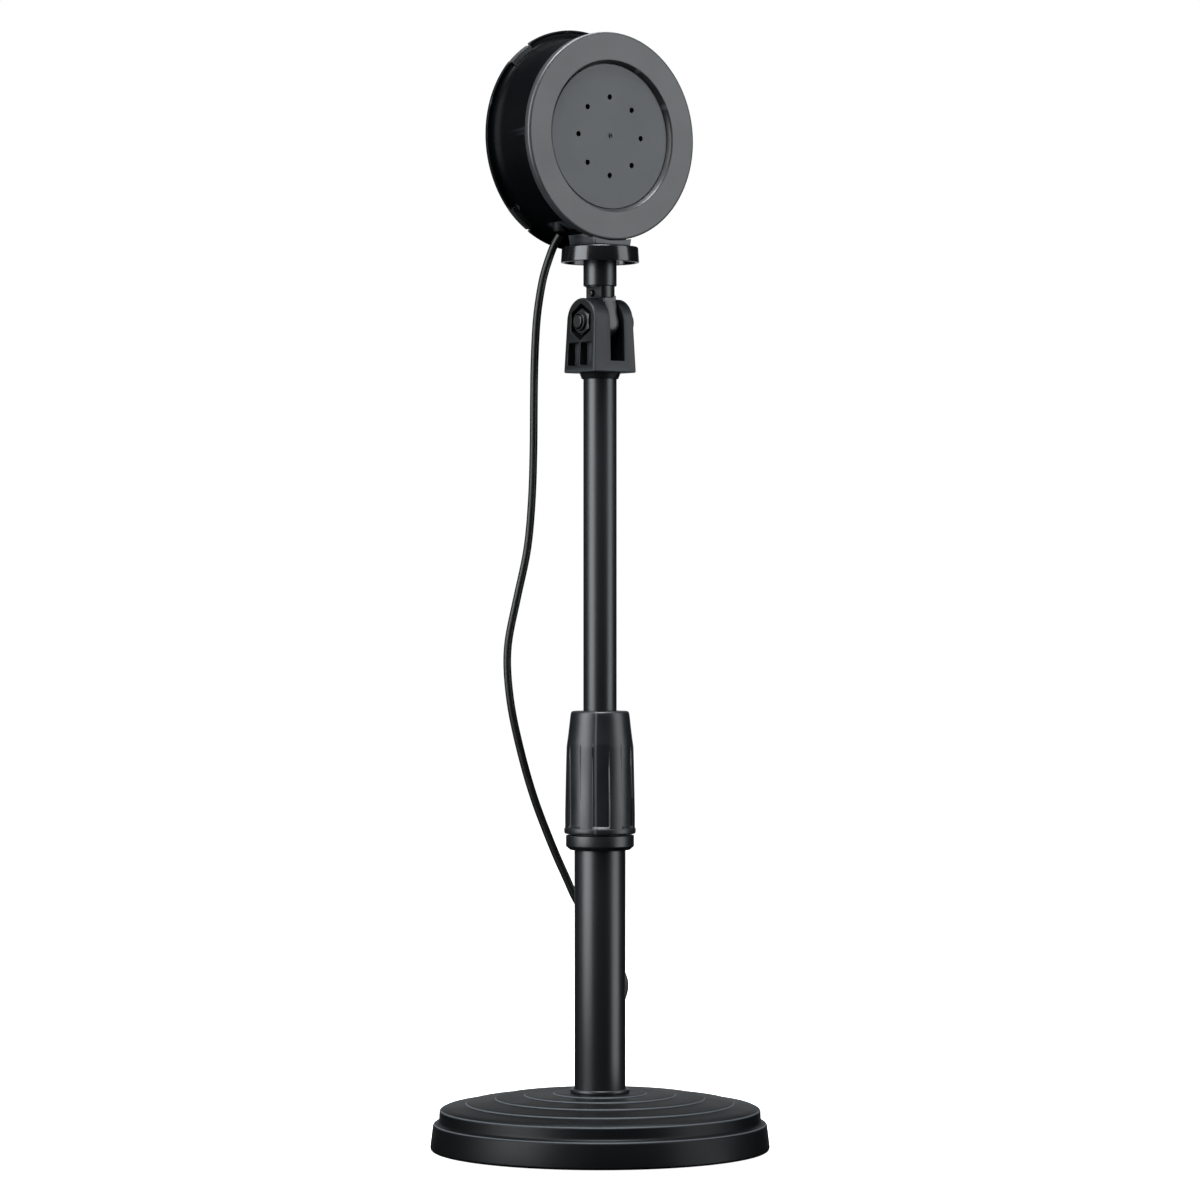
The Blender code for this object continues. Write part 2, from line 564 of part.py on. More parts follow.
def make_yoke():
    """Two cheeks on a tapered block, arched about the bolt, with a spigot in the pole."""
    to_side = Matrix(((0, 0, 1, 0), (1, 0, 0, 0), (0, 1, 0, 0), (0, 0, 0, 1)))
    to_front = Matrix.Rotation(math.pi / 2, 4, "X")
    half_depth = YOKE_DEPTH_BOTTOM / 2
    side = [(-half_depth, YOKE_BOTTOM), (half_depth, YOKE_BOTTOM)]
    side += arc((0, BOLT_HEIGHT), YOKE_ARCH_RADIUS, 0, 180, 16)
    half_low = YOKE_WIDTH_BOTTOM / 2
    half_top = YOKE_WIDTH_TOP / 2
    front = [(-half_low, YOKE_BOTTOM), (half_low, YOKE_BOTTOM), (half_top, BOLT_HEIGHT),
             (half_top, YOKE_TOP + 0.0020), (-half_top, YOKE_TOP + 0.0020), (-half_top, BOLT_HEIGHT)]
    yoke = flat_piece("yoke", [side], YOKE_WIDTH_BOTTOM + 0.0040, BLACK_PLASTIC, to_side)
    combine(yoke, flat_piece("yoke_front", [front], YOKE_DEPTH_BOTTOM + 0.0040, place=to_front), "INTERSECT")
    lip = 0.0026
    spigot = turned("yoke_spigot", [(0, YOKE_BOTTOM + 0.0010), (POLE_RADIUS + 0.0016, YOKE_BOTTOM + 0.0010),
                                    (POLE_RADIUS + 0.0016, YOKE_BOTTOM),
                                    (POLE_RADIUS + 0.0007, YOKE_BOTTOM - lip),
                                    (POLE_RADIUS + GAP, YOKE_BOTTOM - lip), (POLE_RADIUS + GAP, YOKE_BOTTOM),
                                    (POLE_BORE - GAP, YOKE_BOTTOM), (POLE_BORE - GAP, YOKE_BOTTOM - 0.0140),
                                    (0, YOKE_BOTTOM - 0.0140)], sides=22)
    combine(yoke, spigot, "UNION")
    slot_left = SLOT_OFFSET - SLOT_WIDTH / 2
    combine(yoke, box("yoke_slot", (slot_left, -0.0200, YOKE_BOTTOM + YOKE_SLOT_FLOOR),
                      (slot_left + SLOT_WIDTH, 0.0200, YOKE_TOP + 0.0050)))
    combine(yoke, rod("yoke_bore", BOLT_RADIUS + GAP, (-0.0200, 0, BOLT_HEIGHT), (0.0200, 0, BOLT_HEIGHT)))
    combine(yoke, rod("washer_seat", 0.0068, (half_top - 0.0004, 0, BOLT_HEIGHT),
                      (half_low + 0.0040, 0, BOLT_HEIGHT), sides=22))
    combine(yoke, rod("nut_pocket", NUT_POCKET_FLATS / math.sqrt(3),
                      (-half_top + NUT_POCKET_DEPTH, 0, BOLT_HEIGHT),
                      (-half_low - 0.0040, 0, BOLT_HEIGHT), sides=6))
    border = 0.0030
    pocket_top = BOLT_HEIGHT - NUT_POCKET_FLATS / 2 - 0.0020
    pocket_low = YOKE_BOTTOM + border
    for number, (near, far) in enumerate(((-half_depth + border, -0.0010), (0.0010, half_depth - border))):
        combine(yoke, box("side_pocket_%d" % (number + 1), (-half_low - 0.0040, near, pocket_low),
                          (-half_low + 0.0045, far, pocket_top)))
    return yoke


# ---------------------------------------------------------------- tilting post and knob
def make_post(empty):
    """A flat tongue in the yoke, a round neck, a shank and a threaded stud."""
    to_side = Matrix(((0, 0, 1, SLOT_OFFSET), (1, 0, 0, 0), (0, 1, 0, 0), (0, 0, 0, 1)))
    thickness = SLOT_WIDTH - 3 * GAP
    outline = arc((0, BOLT_HEIGHT), TONGUE_RADIUS, -180, 0, 16)
    outline += [(NECK_RADIUS - 0.0010, YOKE_TOP - 0.0010), (NECK_RADIUS - 0.0010, NECK_BOTTOM + 0.0010),
                (-NECK_RADIUS + 0.0010, NECK_BOTTOM + 0.0010), (-NECK_RADIUS + 0.0010, YOKE_TOP - 0.0010)]
    post = flat_piece("tilt_post", [outline], thickness, BLACK_PAINT, to_side)
    shank_top = KNOB_TOP - KNOB_WEB - GAP
    stud_top = HEAD_HEIGHT - DRUM_RADIUS + DRUM_WALL + 0.0068
    round_part = turned("post_shank", [(0, stud_top), (STUD_RADIUS - 0.0004, stud_top),
                                       (STUD_RADIUS, stud_top - 0.0004), (STUD_RADIUS, shank_top),
                                       (POST_RADIUS, shank_top), (POST_RADIUS, NECK_TOP + 0.0004),
                                       (POST_RADIUS - 0.0004, NECK_TOP), (NECK_RADIUS, NECK_TOP),
                                       (NECK_RADIUS, NECK_BOTTOM), (0, NECK_BOTTOM)], sides=22)
    combine(post, round_part, "UNION")
    combine(post, rod("post_bore", BOLT_RADIUS + GAP, (-0.0100, 0, BOLT_HEIGHT), (0.0120, 0, BOLT_HEIGHT)))
    combine(post, box("neck_window", (-0.0100, -0.0100, NECK_BOTTOM - 0.0010),
                      (NECK_FLAT, 0.0100, NECK_TOP - 0.0003)))
    pin_height = NECK_BOTTOM + 0.0020
    pin_back = 0.0008
    combine(post, rod("neck_pin_bore", 0.0013 + GAP, (NECK_FLAT - 0.0050, pin_back, pin_height),
                      (NECK_FLAT + 0.0050, pin_back, pin_height), sides=10))
    pin = rod("neck_pin", 0.0013, (NECK_FLAT - 0.0014, pin_back, pin_height),
              (NECK_FLAT + 0.0046, pin_back, pin_height), STEEL, sides=10)
    wall_inside = HEAD_HEIGHT - math.sqrt((DRUM_RADIUS - DRUM_WALL) ** 2 - PAN_NUT_RADIUS ** 2)
    washer_bottom = wall_inside + GAP
    washer = rod("pan_washer", PAN_NUT_RADIUS, (0, 0, washer_bottom), (0, 0, washer_bottom + 0.0010), STEEL)
    combine(washer, stud_bore("pan_washer_bore"))
    nut_bottom = washer_bottom + 0.0010 + GAP
    nut = rod("pan_nut", PAN_NUT_RADIUS, (0, 0, nut_bottom), (0, 0, nut_bottom + 0.0040), STEEL, sides=6)
    combine(nut, stud_bore("pan_nut_bore"))
    hold(empty, post, pin, washer, nut)


def stud_bore(name):
    return rod(name, STUD_RADIUS + GAP, (0, 0, KNOB_BOTTOM), (0, 0, HEAD_HEIGHT - 0.0150))


def make_knob(empty):
    cavity = KNOB_TOP - KNOB_WEB
    bore = STUD_RADIUS + GAP
    profile = [(KNOB_TOP_RADIUS - 0.0009, KNOB_TOP), (KNOB_TOP_RADIUS - 0.0002, KNOB_TOP - 0.0003),
               (KNOB_TOP_RADIUS, KNOB_TOP - 0.0010), (KNOB_RADIUS, KNOB_BOTTOM + 0.0006),
               (KNOB_RADIUS - 0.0004, KNOB_BOTTOM), (KNOB_RADIUS - KNOB_RIM, KNOB_BOTTOM),
               (KNOB_RADIUS - KNOB_RIM, cavity), (bore, cavity), (bore, KNOB_TOP)]
    knob = turned("lock_knob", profile, GLOSS_PLASTIC, closed=True, sides=36)
    hold(empty, knob)


# ---------------------------------------------------------------- speaker head
def place_in_head(*pieces):
    for piece in pieces:
        piece.matrix_world = HEAD_PLACE


def make_housing():
    back = FACE_FRONT - FACE_RING_DEPTH
    spigot_outer = DRUM_RADIUS - DRUM_WALL - GAP
    recess_wall = RECESS_RADIUS - RECESS_SLOPE
    recess_floor = FACE_FRONT - RECESS_DEPTH
    profile = [(FACE_RADIUS - FACE_BEVEL, FACE_FRONT), (FACE_RADIUS - 0.0003, FACE_FRONT - 0.0006),
               (FACE_RADIUS, FACE_FRONT - 0.0015), (FACE_RADIUS, back), (spigot_outer, back),
               (spigot_outer, back - 0.0045), (spigot_outer - 0.0025, back - 0.0045),
               (spigot_outer - 0.0025, back), (recess_wall, back), (recess_wall, recess_floor),
               (RECESS_RADIUS, FACE_FRONT)]
    ring = turned("front_ring", profile, BLACK_PLASTIC, closed=True, sides=44)
    relief = PAN_NUT_RADIUS + 0.0020
    nut_relief = box("nut_relief", (-relief, -DRUM_RADIUS - 0.0010, back - 0.0060),
                     (relief, -RECESS_RADIUS - 0.0020, back + GAP))
    place_in_head(nut_relief)
    combine(ring, nut_relief)
    disc_flange = recess_wall + 0.0035
    flange_top = back - GAP
    disc_back = flange_top - 0.0014
    disc = rod("grille_disc", recess_wall - GAP, (0, 0, disc_back), (0, 0, recess_floor),
               BLACK_PLASTIC, sides=40)
    rim = rod("grille_disc_rim", disc_flange, (0, 0, disc_back), (0, 0, flange_top), sides=40)
    place_in_head(rim)
    combine(disc, rim, "UNION")
    for number in range(SOUND_HOLES):
        angle = 2 * math.pi * number / SOUND_HOLES
        across = SOUND_HOLE_CIRCLE * math.cos(angle)
        up = SOUND_HOLE_CIRCLE * math.sin(angle)
        hole = rod("sound_hole_%d" % (number + 1), SOUND_HOLE_RADIUS, (across, up, disc_back - 0.0020),
                   (across, up, recess_floor + 0.0020), sides=10)
        place_in_head(hole)
        combine(disc, hole)
    dimple = rod("centre_dimple", 0.0014, (0, 0, recess_floor - 0.0006),
                 (0, 0, recess_floor + 0.0020), sides=10)
    place_in_head(dimple)
    combine(disc, dimple)
    for number, (across, up) in enumerate(driver_screws()):
        hole = rod("disc_screw_hole_%d" % (number + 1), 0.0013, (across, up, disc_back - 0.0020),
                   (across, up, disc_back + 0.0017), sides=10)
        place_in_head(hole)
        combine(disc, hole)
    place_in_head(ring, disc)
    drum = make_drum(back - GAP)
    cover = make_cover()
    mesh = turned("dust_mesh", [(0, disc_back - GAP), (DRIVER_SCREW_CIRCLE - 0.0022, disc_back - GAP),
                                (DRIVER_SCREW_CIRCLE - 0.0022, disc_back - 0.0007), (0, disc_back - 0.0007)],
                  MESH_CLOTH, sides=22)
    place_in_head(mesh)
    return [ring, disc, drum, cover, mesh], disc_back - 0.0010


def make_drum(front):
    inner = DRUM_RADIUS - DRUM_WALL
    web_front = FLANGE_BACK + FLANGE_THICKNESS
    lip_front = FLANGE_BACK + FLANGE_LIP
    profile = [(DRUM_RADIUS, front), (DRUM_RADIUS, FLARE_START)]
    for number in range(1, 5):
        share = number / 4
        radius = DRUM_RADIUS + (FLARE_RADIUS - DRUM_RADIUS) * (1 - math.cos(share * math.pi / 2))
        profile.append((radius, FLARE_START + (web_front - FLARE_START) * math.sin(share * math.pi / 2)))
    profile += [(FLANGE_RADIUS - 0.0010, web_front), (FLANGE_RADIUS - 0.0009, lip_front),
                (FLANGE_RADIUS, lip_front), (FLANGE_RADIUS, FLANGE_BACK), (inner, FLANGE_BACK),
                (inner, front)]
    drum = turned("drum_shell", profile, BLACK_PLASTIC, closed=True, sides=44)
    for number, place in enumerate(NOTCH_PLACES):
        outline = sector(NOTCH_INNER_RADIUS, FLANGE_RADIUS + 0.0030, math.radians(place), NOTCH_ANGLE)
        lift = Matrix.Translation((0, 0, FLANGE_BACK))
        notch = flat_piece("flange_notch_%d" % (number + 1), [outline], 0.0080, place=lift)
        place_in_head(notch)
        combine(drum, notch)
    stud_hole = rod("drum_stud_hole", STUD_RADIUS + GAP, (0, 0, KNOB_TOP), (0, 0, HEAD_HEIGHT - 0.0200))
    cord_hole = rod("drum_cord_hole", 0.0031, (*CORD_EXIT, KNOB_TOP), (*CORD_EXIT, HEAD_HEIGHT - 0.0200))
    combine(drum, stud_hole)
    combine(drum, cord_hole)
    place_in_head(drum)
    return drum


def make_cover():
    """A flat back with four hooks that snap into the flange's notches."""
    front = FLANGE_BACK - GAP
    back = front - COVER_THICKNESS
    rim = FLANGE_RADIUS - 0.0021
    profile = [(0, front), (rim, front), (rim, back + 0.0006), (rim - 0.0006, back), (0, back)]
    cover = turned("rear_cover", profile, BLACK_PLASTIC, sides=44)
    play = 2 * GAP / NOTCH_INNER_RADIUS
    for number, place in enumerate(NOTCH_PLACES):
        outline = sector(NOTCH_INNER_RADIUS + GAP, FLANGE_RADIUS - 0.0009, math.radians(place),
                         NOTCH_ANGLE - play)
        length = FLANGE_LIP + COVER_THICKNESS - 0.0004
        lift = Matrix.Translation((0, 0, back + 0.0007 + length / 2))
        hook = flat_piece("cover_hook_%d" % (number + 1), [outline], length, place=lift)
        place_in_head(hook)
        combine(cover, hook, "UNION")
    place_in_head(cover)
    return cover


def driver_screws():
    angles = [math.pi / 4 + i * math.pi / 2 for i in range(4)]
    return [(DRIVER_SCREW_CIRCLE * math.cos(a), DRIVER_SCREW_CIRCLE * math.sin(a)) for a in angles]


def make_driver(front):
    """The loudspeaker's chassis, magnet, cone and surround, behind the grille."""
    throat = DRIVER_THROAT
    bottom = -0.0080
    flange_back = front - 0.0012
    wide = DRIVER_RADIUS - 0.0045
    profile = [(DRIVER_RADIUS, front), (DRIVER_RADIUS, flange_back), (wide, flange_back),
               (throat, bottom - 0.0010), (0.0060, bottom - 0.0010), (0.0060, bottom),
               (throat - 0.0006, bottom), (wide - 0.0007, front - 0.0008), (wide - 0.0007, front)]
    chassis = turned("speaker_chassis", profile, STEEL, closed=True, sides=28)
    pieces = [chassis]
    for number, (across, up) in enumerate(driver_screws()):
        hole = rod("chassis_hole_%d" % (number + 1), 0.0013, (across, up, flange_back - 0.0020),
                   (across, up, front + 0.0020), sides=10)
        place_in_head(hole)
        combine(chassis, hole)
        head = rod("driver_screw_%d" % (number + 1), 0.0019, (across, up, flange_back - 0.0012),
                   (across, up, flange_back - GAP), STEEL, sides=10)
        shank = rod("driver_screw_shank_%d" % (number + 1), 0.0010, (across, up, flange_back - 0.0010),
                    (across, up, front + 0.0022), sides=10)
        place_in_head(shank)
        combine(head, shank, "UNION")
        pieces.append(head)
    magnet_front = bottom - 0.0010 - GAP
    pieces.append(turned("speaker_magnet", [(0.0150, magnet_front), (0.0150, -0.0158), (0.0040, -0.0158),
                                            (0.0040, magnet_front)], STEEL, closed=True, sides=22))
    cone_rim = front - 0.0006
    cone_edge = DRIVER_RADIUS - 0.0102
    pieces.append(turned("speaker_cone", [(0.0080, bottom + 0.0022), (cone_edge, cone_rim),
                                          (cone_edge + 0.0001, cone_rim - 0.0008), (0.0080, bottom + 0.0014)],
                         PAPER, closed=True, sides=24))
    middle = DRIVER_RADIUS - 0.0078
    roll = [(middle + 0.0020 * math.cos(a), cone_rim + 0.0003 * math.sin(a)) for a in (2.5, 1.57, 0.6)]
    roll += [(middle + 0.0020, cone_rim), (middle + 0.0020, cone_rim - 0.0004),
             (middle - 0.0020, cone_rim - 0.0004)]
    pieces.append(turned("cone_surround", roll, RUBBER, closed=True, sides=24))
    cap = [(0, -0.0034), (0.0040, -0.0041), (0.0074, -0.0056), (0.0066, -0.0066), (0, -0.0066)]
    pieces.append(turned("dust_cap", cap, PAPER, sides=22))
    place_in_head(*pieces)
    return pieces


def make_board():
    back = -0.0146
    face = back + 0.0014
    top = DRUM_RADIUS - 0.0080
    middle = top - 0.0075
    board = box("amp_board", (-0.0170, top - 0.0150, back), (0.0170, top, face), BOARD)
    chip = box("amp_chip", (0.0020, middle - 0.0040, face + GAP), (0.0100, middle + 0.0040, face + 0.0016),
               BLACK_PLASTIC)
    can = rod("amp_capacitor", 0.0031, (-0.0090, middle, face + GAP),
              (-0.0090, middle, face + 0.0071), BLACK_PAINT)
    place_in_head(board, chip, can)
    return [board, chip, can]


def make_mount_foot():
    """A wedge under the drum, shaped to the drum above and flat on the knob below."""
    half_low = FOOT_WIDTH_BOTTOM / 2
    half_top = FOOT_WIDTH_TOP / 2
    top = FOOT_BOTTOM + 0.0075
    outline = [(-half_low, FOOT_BOTTOM), (half_low, FOOT_BOTTOM), (half_top, top), (-half_top, top)]
    middle = (FOOT_BACK - FOOT_FRONT) / 2
    to_front = Matrix.Translation((0, middle, 0)) @ Matrix.Rotation(math.pi / 2, 4, "X")
    foot = flat_piece("mount_foot", [outline], FOOT_FRONT + FOOT_BACK, BLACK_PLASTIC, to_front)
    behind_ring = -(FACE_FRONT - FACE_RING_DEPTH) + 0.0003
    combine(foot, rod("foot_drum_clearance", DRUM_RADIUS + GAP, (0, -0.0300, HEAD_HEIGHT),
                      (0, 0.0300, HEAD_HEIGHT), sides=96))
    combine(foot, rod("foot_ring_clearance", FACE_RADIUS + GAP, (0, -0.0300, HEAD_HEIGHT),
                      (0, behind_ring, HEAD_HEIGHT), sides=96))
    combine(foot, stud_bore("foot_stud_bore"))
    return foot


def make_grommet():
    wall_outside = HEAD_HEIGHT - math.sqrt(DRUM_RADIUS ** 2 - CORD_EXIT[0] ** 2)
    bottom = CORD_ROUTE[0][2] + CORD_RADIUS * 0.6 + GAP      # the cord's end leans
    place = Matrix.Translation((*CORD_EXIT, 0))
    grommet = turned("cord_grommet", [(0, wall_outside + 0.0075), (0.0028, wall_outside + 0.0075),
                                      (0.0028, bottom + 0.0005), (0.0024, bottom), (0, bottom)],
                     RUBBER, sides=SIDES_SMALL)
    grommet.matrix_world = place
    return grommet


def make_head(empty):
    housing, driver_front = make_housing()
    pieces = housing + make_driver(driver_front) + make_board() + [make_mount_foot(), make_grommet()]
    hold(empty, *pieces)


# ---------------------------------------------------------------- cord, coil and plug
def trimmed(path, at_start, at_end):
    """Shorten a path by the play at the ends that meet another piece."""
    path = [p.copy() for p in path]
    if at_start:
        path[0] += (path[1] - path[0]).normalized() * GAP
    if at_end:
        path[-1] += (path[-2] - path[-1]).normalized() * GAP
    return path


def make_cord(head_empty, post_empty, pole_empty):
    route = smooth_route(CORD_ROUTE, 0.0075)
    at_post = next(i for i, p in enumerate(route) if p.z < CORD_AT_POST)
    at_pole = next(i for i, p in enumerate(route) if p.z < CORD_AT_POLE)
    hold(head_empty, cord_piece("cord_head", trimmed(route[:at_post + 1], False, True)))
    hold(post_empty, cord_piece("cord_neck", trimmed(route[at_post:at_pole + 1], False, True)))
    hold(pole_empty, cord_piece("cord_drop", trimmed(route[at_pole:], False, False)))
    cord_piece("cord_tail", smooth_route(TAIL_ROUTE, 0.0050))


def make_coil():
    lift = Matrix.Translation((*COIL_CENTRE, COIL_LIFT))
    edge = 0.0016
    profile = [(COIL_OUTER_RADIUS - edge, COIL_HEIGHT), (COIL_OUTER_RADIUS, COIL_HEIGHT - edge),
               (COIL_OUTER_RADIUS, edge), (COIL_OUTER_RADIUS - edge, 0), (COIL_INNER_RADIUS + edge, 0),
               (COIL_INNER_RADIUS, edge), (COIL_INNER_RADIUS, COIL_HEIGHT - edge),
               (COIL_INNER_RADIUS + edge, COIL_HEIGHT)]
    coil = turned("cord_coil", profile, BLACK_PLASTIC, closed=True, sides=28)
    coil.matrix_world = lift
    middle = (COIL_INNER_RADIUS + COIL_OUTER_RADIUS) / 2
    half_width = (COIL_OUTER_RADIUS - COIL_INNER_RADIUS) / 2 + 2 * GAP
    half_height = COIL_HEIGHT / 2 + GAP
    inside = rounded_rectangle(half_width, half_height, 0.0012)
    outside = rounded_rectangle(half_width + TIE_THICKNESS, half_height + TIE_THICKNESS, 0.0020)
    centre = Vector((*COIL_CENTRE, COIL_LIFT + COIL_HEIGHT / 2))
    outward = Vector((*COIL_CENTRE, 0)).normalized()
    turn = Matrix.Rotation(math.atan2(outward.y, outward.x), 4, "Z") @ Matrix.Rotation(math.pi / 2, 4, "X")
    flat_piece("cord_tie", [outside, inside], TIE_WIDTH, BLACK_PLASTIC,
               Matrix.Translation(centre + outward * middle) @ turn)


def rounded_rectangle(half_width, half_height, radius):
    points = []
    for x, y, start in ((1, 1, 0), (-1, 1, 90), (-1, -1, 180), (1, -1, 270)):
        centre = (x * (half_width - radius), y * (half_height - radius))
        points += arc(centre, radius, start, start + 90, 3)
    return points


def make_plug():
    end = Vector(TAIL_ROUTE[-1])
    ahead = end - Vector(TAIL_ROUTE[-2])
    ahead.z = 0
    ahead.normalize()
    turn = (-ahead).to_track_quat("Z", "Y").to_matrix().to_4x4()
    start = end + ahead * GAP
    body = turned("plug_body", [(0, 0), (CORD_RADIUS + 0.0005, 0), (PLUG_RADIUS - 0.0008, -0.0060),
                                (PLUG_RADIUS, -0.0075), (PLUG_RADIUS, -PLUG_LENGTH), (0, -PLUG_LENGTH)],
                  BLACK_PLASTIC, sides=22)
    body.matrix_world = Matrix.Translation(start) @ turn
    tip = PLUG_LENGTH + GAP + PLUG_PIN_LENGTH
    pin = turned("plug_pin", [(0, -PLUG_LENGTH - GAP), (PLUG_PIN_RADIUS, -PLUG_LENGTH - GAP),
                              (PLUG_PIN_RADIUS, 0.0030 - tip), (0.0012, 0.0024 - tip),
                              (0.0016, 0.0016 - tip), (0.0005, -tip), (0, -tip)], STEEL, sides=20)
    pin.matrix_world = Matrix.Translation(start) @ turn


# ---------------------------------------------------------------- assembly
def main():
    collar_empty = joint_empty("collar_axis", COLLAR_BOTTOM)
    pole_empty = joint_empty("pole_axis", YOKE_BOTTOM)
    post_empty = joint_empty("tilt_axis", BOLT_HEIGHT)
    knob_empty = joint_empty("knob_axis", KNOB_BOTTOM)
    head_empty = joint_empty("pan_axis", FOOT_BOTTOM)
    make_base()
    make_clamp()
    make_collar(collar_empty)
    make_pole(pole_empty)
    make_post(post_empty)
    make_knob(knob_empty)
    make_head(head_empty)
    make_cord(head_empty, post_empty, pole_empty)
    make_coil()
    make_plug()


main()
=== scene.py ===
# %% [markdown]
# # A small round speaker on a telescopic desk stand
# The imported model gives the exact size and place of every part.  Each visible part is made
# again here with finer edges and a real finish; all but the cord's three stretches ride on the
# same moving body.

# %% Load the frame
import math

import bmesh
import bpy
from mathutils import Matrix, Vector


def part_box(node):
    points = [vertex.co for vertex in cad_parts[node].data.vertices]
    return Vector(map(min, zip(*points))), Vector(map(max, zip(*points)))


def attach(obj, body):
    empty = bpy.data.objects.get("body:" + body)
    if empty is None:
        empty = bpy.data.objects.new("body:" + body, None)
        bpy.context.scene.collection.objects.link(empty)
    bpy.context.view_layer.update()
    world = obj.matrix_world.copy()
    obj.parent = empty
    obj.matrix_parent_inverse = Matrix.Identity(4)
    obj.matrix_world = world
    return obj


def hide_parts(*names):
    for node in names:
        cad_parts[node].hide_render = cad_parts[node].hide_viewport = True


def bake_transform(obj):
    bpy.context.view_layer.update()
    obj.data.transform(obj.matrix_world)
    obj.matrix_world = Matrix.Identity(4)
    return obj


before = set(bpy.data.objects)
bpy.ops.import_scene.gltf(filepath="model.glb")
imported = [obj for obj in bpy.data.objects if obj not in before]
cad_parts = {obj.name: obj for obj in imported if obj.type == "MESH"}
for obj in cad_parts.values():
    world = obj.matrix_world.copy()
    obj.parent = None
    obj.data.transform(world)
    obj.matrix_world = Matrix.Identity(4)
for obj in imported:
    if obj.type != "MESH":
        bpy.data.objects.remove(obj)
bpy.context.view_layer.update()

MM = 0.001


def linked(name, data):
    """Make an object of some data and put it in the scene."""
    thing = bpy.data.objects.new(name, data)
    bpy.context.scene.collection.objects.link(thing)
    return thing


print("parts in the frame:", len(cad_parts))

# %% [markdown]
# ## The camera
# A short lens close by would show more of the room, but would make the tall stand lean.  A long
# lens far away keeps its edges straight, so the camera stands back and looks level.

# %% Camera
CAMERA_TURN = math.radians(37.4)
CAMERA_DISTANCE, CAMERA_HEIGHT = 1.896, 0.23628
LENS, FILM_WIDTH = 132.36, 36.0
camera_data = bpy.data.cameras.new("long_lens")
camera_data.lens, camera_data.sensor_width = LENS, FILM_WIDTH
camera = linked("long_lens", camera_data)
camera.location = (-CAMERA_DISTANCE * math.sin(CAMERA_TURN), -CAMERA_DISTANCE * math.cos(CAMERA_TURN),
                   CAMERA_HEIGHT)
camera.rotation_euler = (math.pi / 2, 0, -CAMERA_TURN)
bpy.context.scene.camera = camera
ACROSS = Vector((math.cos(CAMERA_TURN), -math.sin(CAMERA_TURN), 0))
AWAY = Vector((math.sin(CAMERA_TURN), math.cos(CAMERA_TURN), 0))
print("camera at", [round(c, 3) for c in camera.location])


# %% [markdown]
# ## Shader arithmetic
# A material is a graph of nodes.  Wrapping each output in a small class lets `1 - mask * 0.2`
# build its Math nodes, so a finish reads like a formula.

# %% Sockets that add up
class Wire:
    """One output of a node; arithmetic on it adds Math nodes to the same material."""

    def __init__(self, finish, socket):
        self.finish = finish
        self.socket = socket

    def __add__(self, other):
        return self.finish.maths("ADD", self, other)

    def __sub__(self, other):
        return self.finish.maths("SUBTRACT", self, other)

    def __rsub__(self, other):
        return self.finish.maths("SUBTRACT", other, self)

    def __mul__(self, other):
        return self.finish.maths("MULTIPLY", self, other)

    __radd__ = __add__
    __rmul__ = __mul__


class Finish:
    """A material under construction."""

    def __init__(self, name):
        self.material = bpy.data.materials.new(name)
        self.material.use_nodes = True
        self.tree = self.material.node_tree
        self.tree.nodes.clear()
        self.place = self.node("ShaderNodeTexCoord", output="Object")

    def node(self, kind, settings=None, inputs=None, output=0):
        made = self.tree.nodes.new(kind)
        for name, value in (settings or {}).items():
            setattr(made, name, value)
        for name, value in (inputs or {}).items():
            if isinstance(value, Wire):
                self.tree.links.new(value.socket, made.inputs[name])
            else:
                made.inputs[name].default_value = value
        return Wire(self, made.outputs[output])

    def maths(self, operation, first, second):
        return self.node("ShaderNodeMath", {"operation": operation}, {0: first, 1: second})

    def noise(self, size, detail=2.0, stretch=None):
        place = self.place
        if stretch:
            place = self.node("ShaderNodeMapping", None, {"Vector": place, "Scale": stretch})
        return self.node("ShaderNodeTexNoise", None, {
            "Vector": place, "Scale": 1 / size, "Detail": detail})

    def window(self, value, low, high, bottom=0.0, top=1.0):
        """Spread the part of a value between low and high over bottom to top, and hold the ends."""
        return self.node("ShaderNodeMapRange", {"clamp": True}, {
            "Value": value, "From Min": low, "From Max": high, "To Min": bottom, "To Max": top})

    def blend(self, share, first, second):
        mix = self.tree.nodes.new("ShaderNodeMix")
        mix.data_type = "RGBA"
        for number, value in ((0, share), (6, first), (7, second)):
            socket = mix.inputs[number]
            if isinstance(value, Wire):
                self.tree.links.new(value.socket, socket)
            else:
                socket.default_value = value
        return Wire(self, mix.outputs[2])

    def bump(self, height, depth):
        return self.node("ShaderNodeBump", None, {"Height": height, "Distance": depth})

    def surface(self, **inputs):
        inputs = {name.replace("_", " "): value for name, value in inputs.items()}
        shader = self.node("ShaderNodeBsdfPrincipled", None, inputs)
        output = self.tree.nodes.new("ShaderNodeOutputMaterial")
        self.tree.links.new(shader.socket, output.inputs["Surface"])
        return self.material


def grey(level, tint=0.0):
    """A nearly neutral colour; a positive tint leans blue."""
    return (level * (1 - tint), level, level * (1 + tint), 1.0)


FLAT, KEEN = 0.518, 0.565       # how pointed a place is before the painted edge highlight starts, and where it is full


# Painted highlight: a mask of pointed edges, where a lighter colour stands in for edge highlights.
def painted_edge_highlight(finish):
    return finish.window(finish.node("ShaderNodeNewGeometry", output="Pointiness"), FLAT, KEEN)
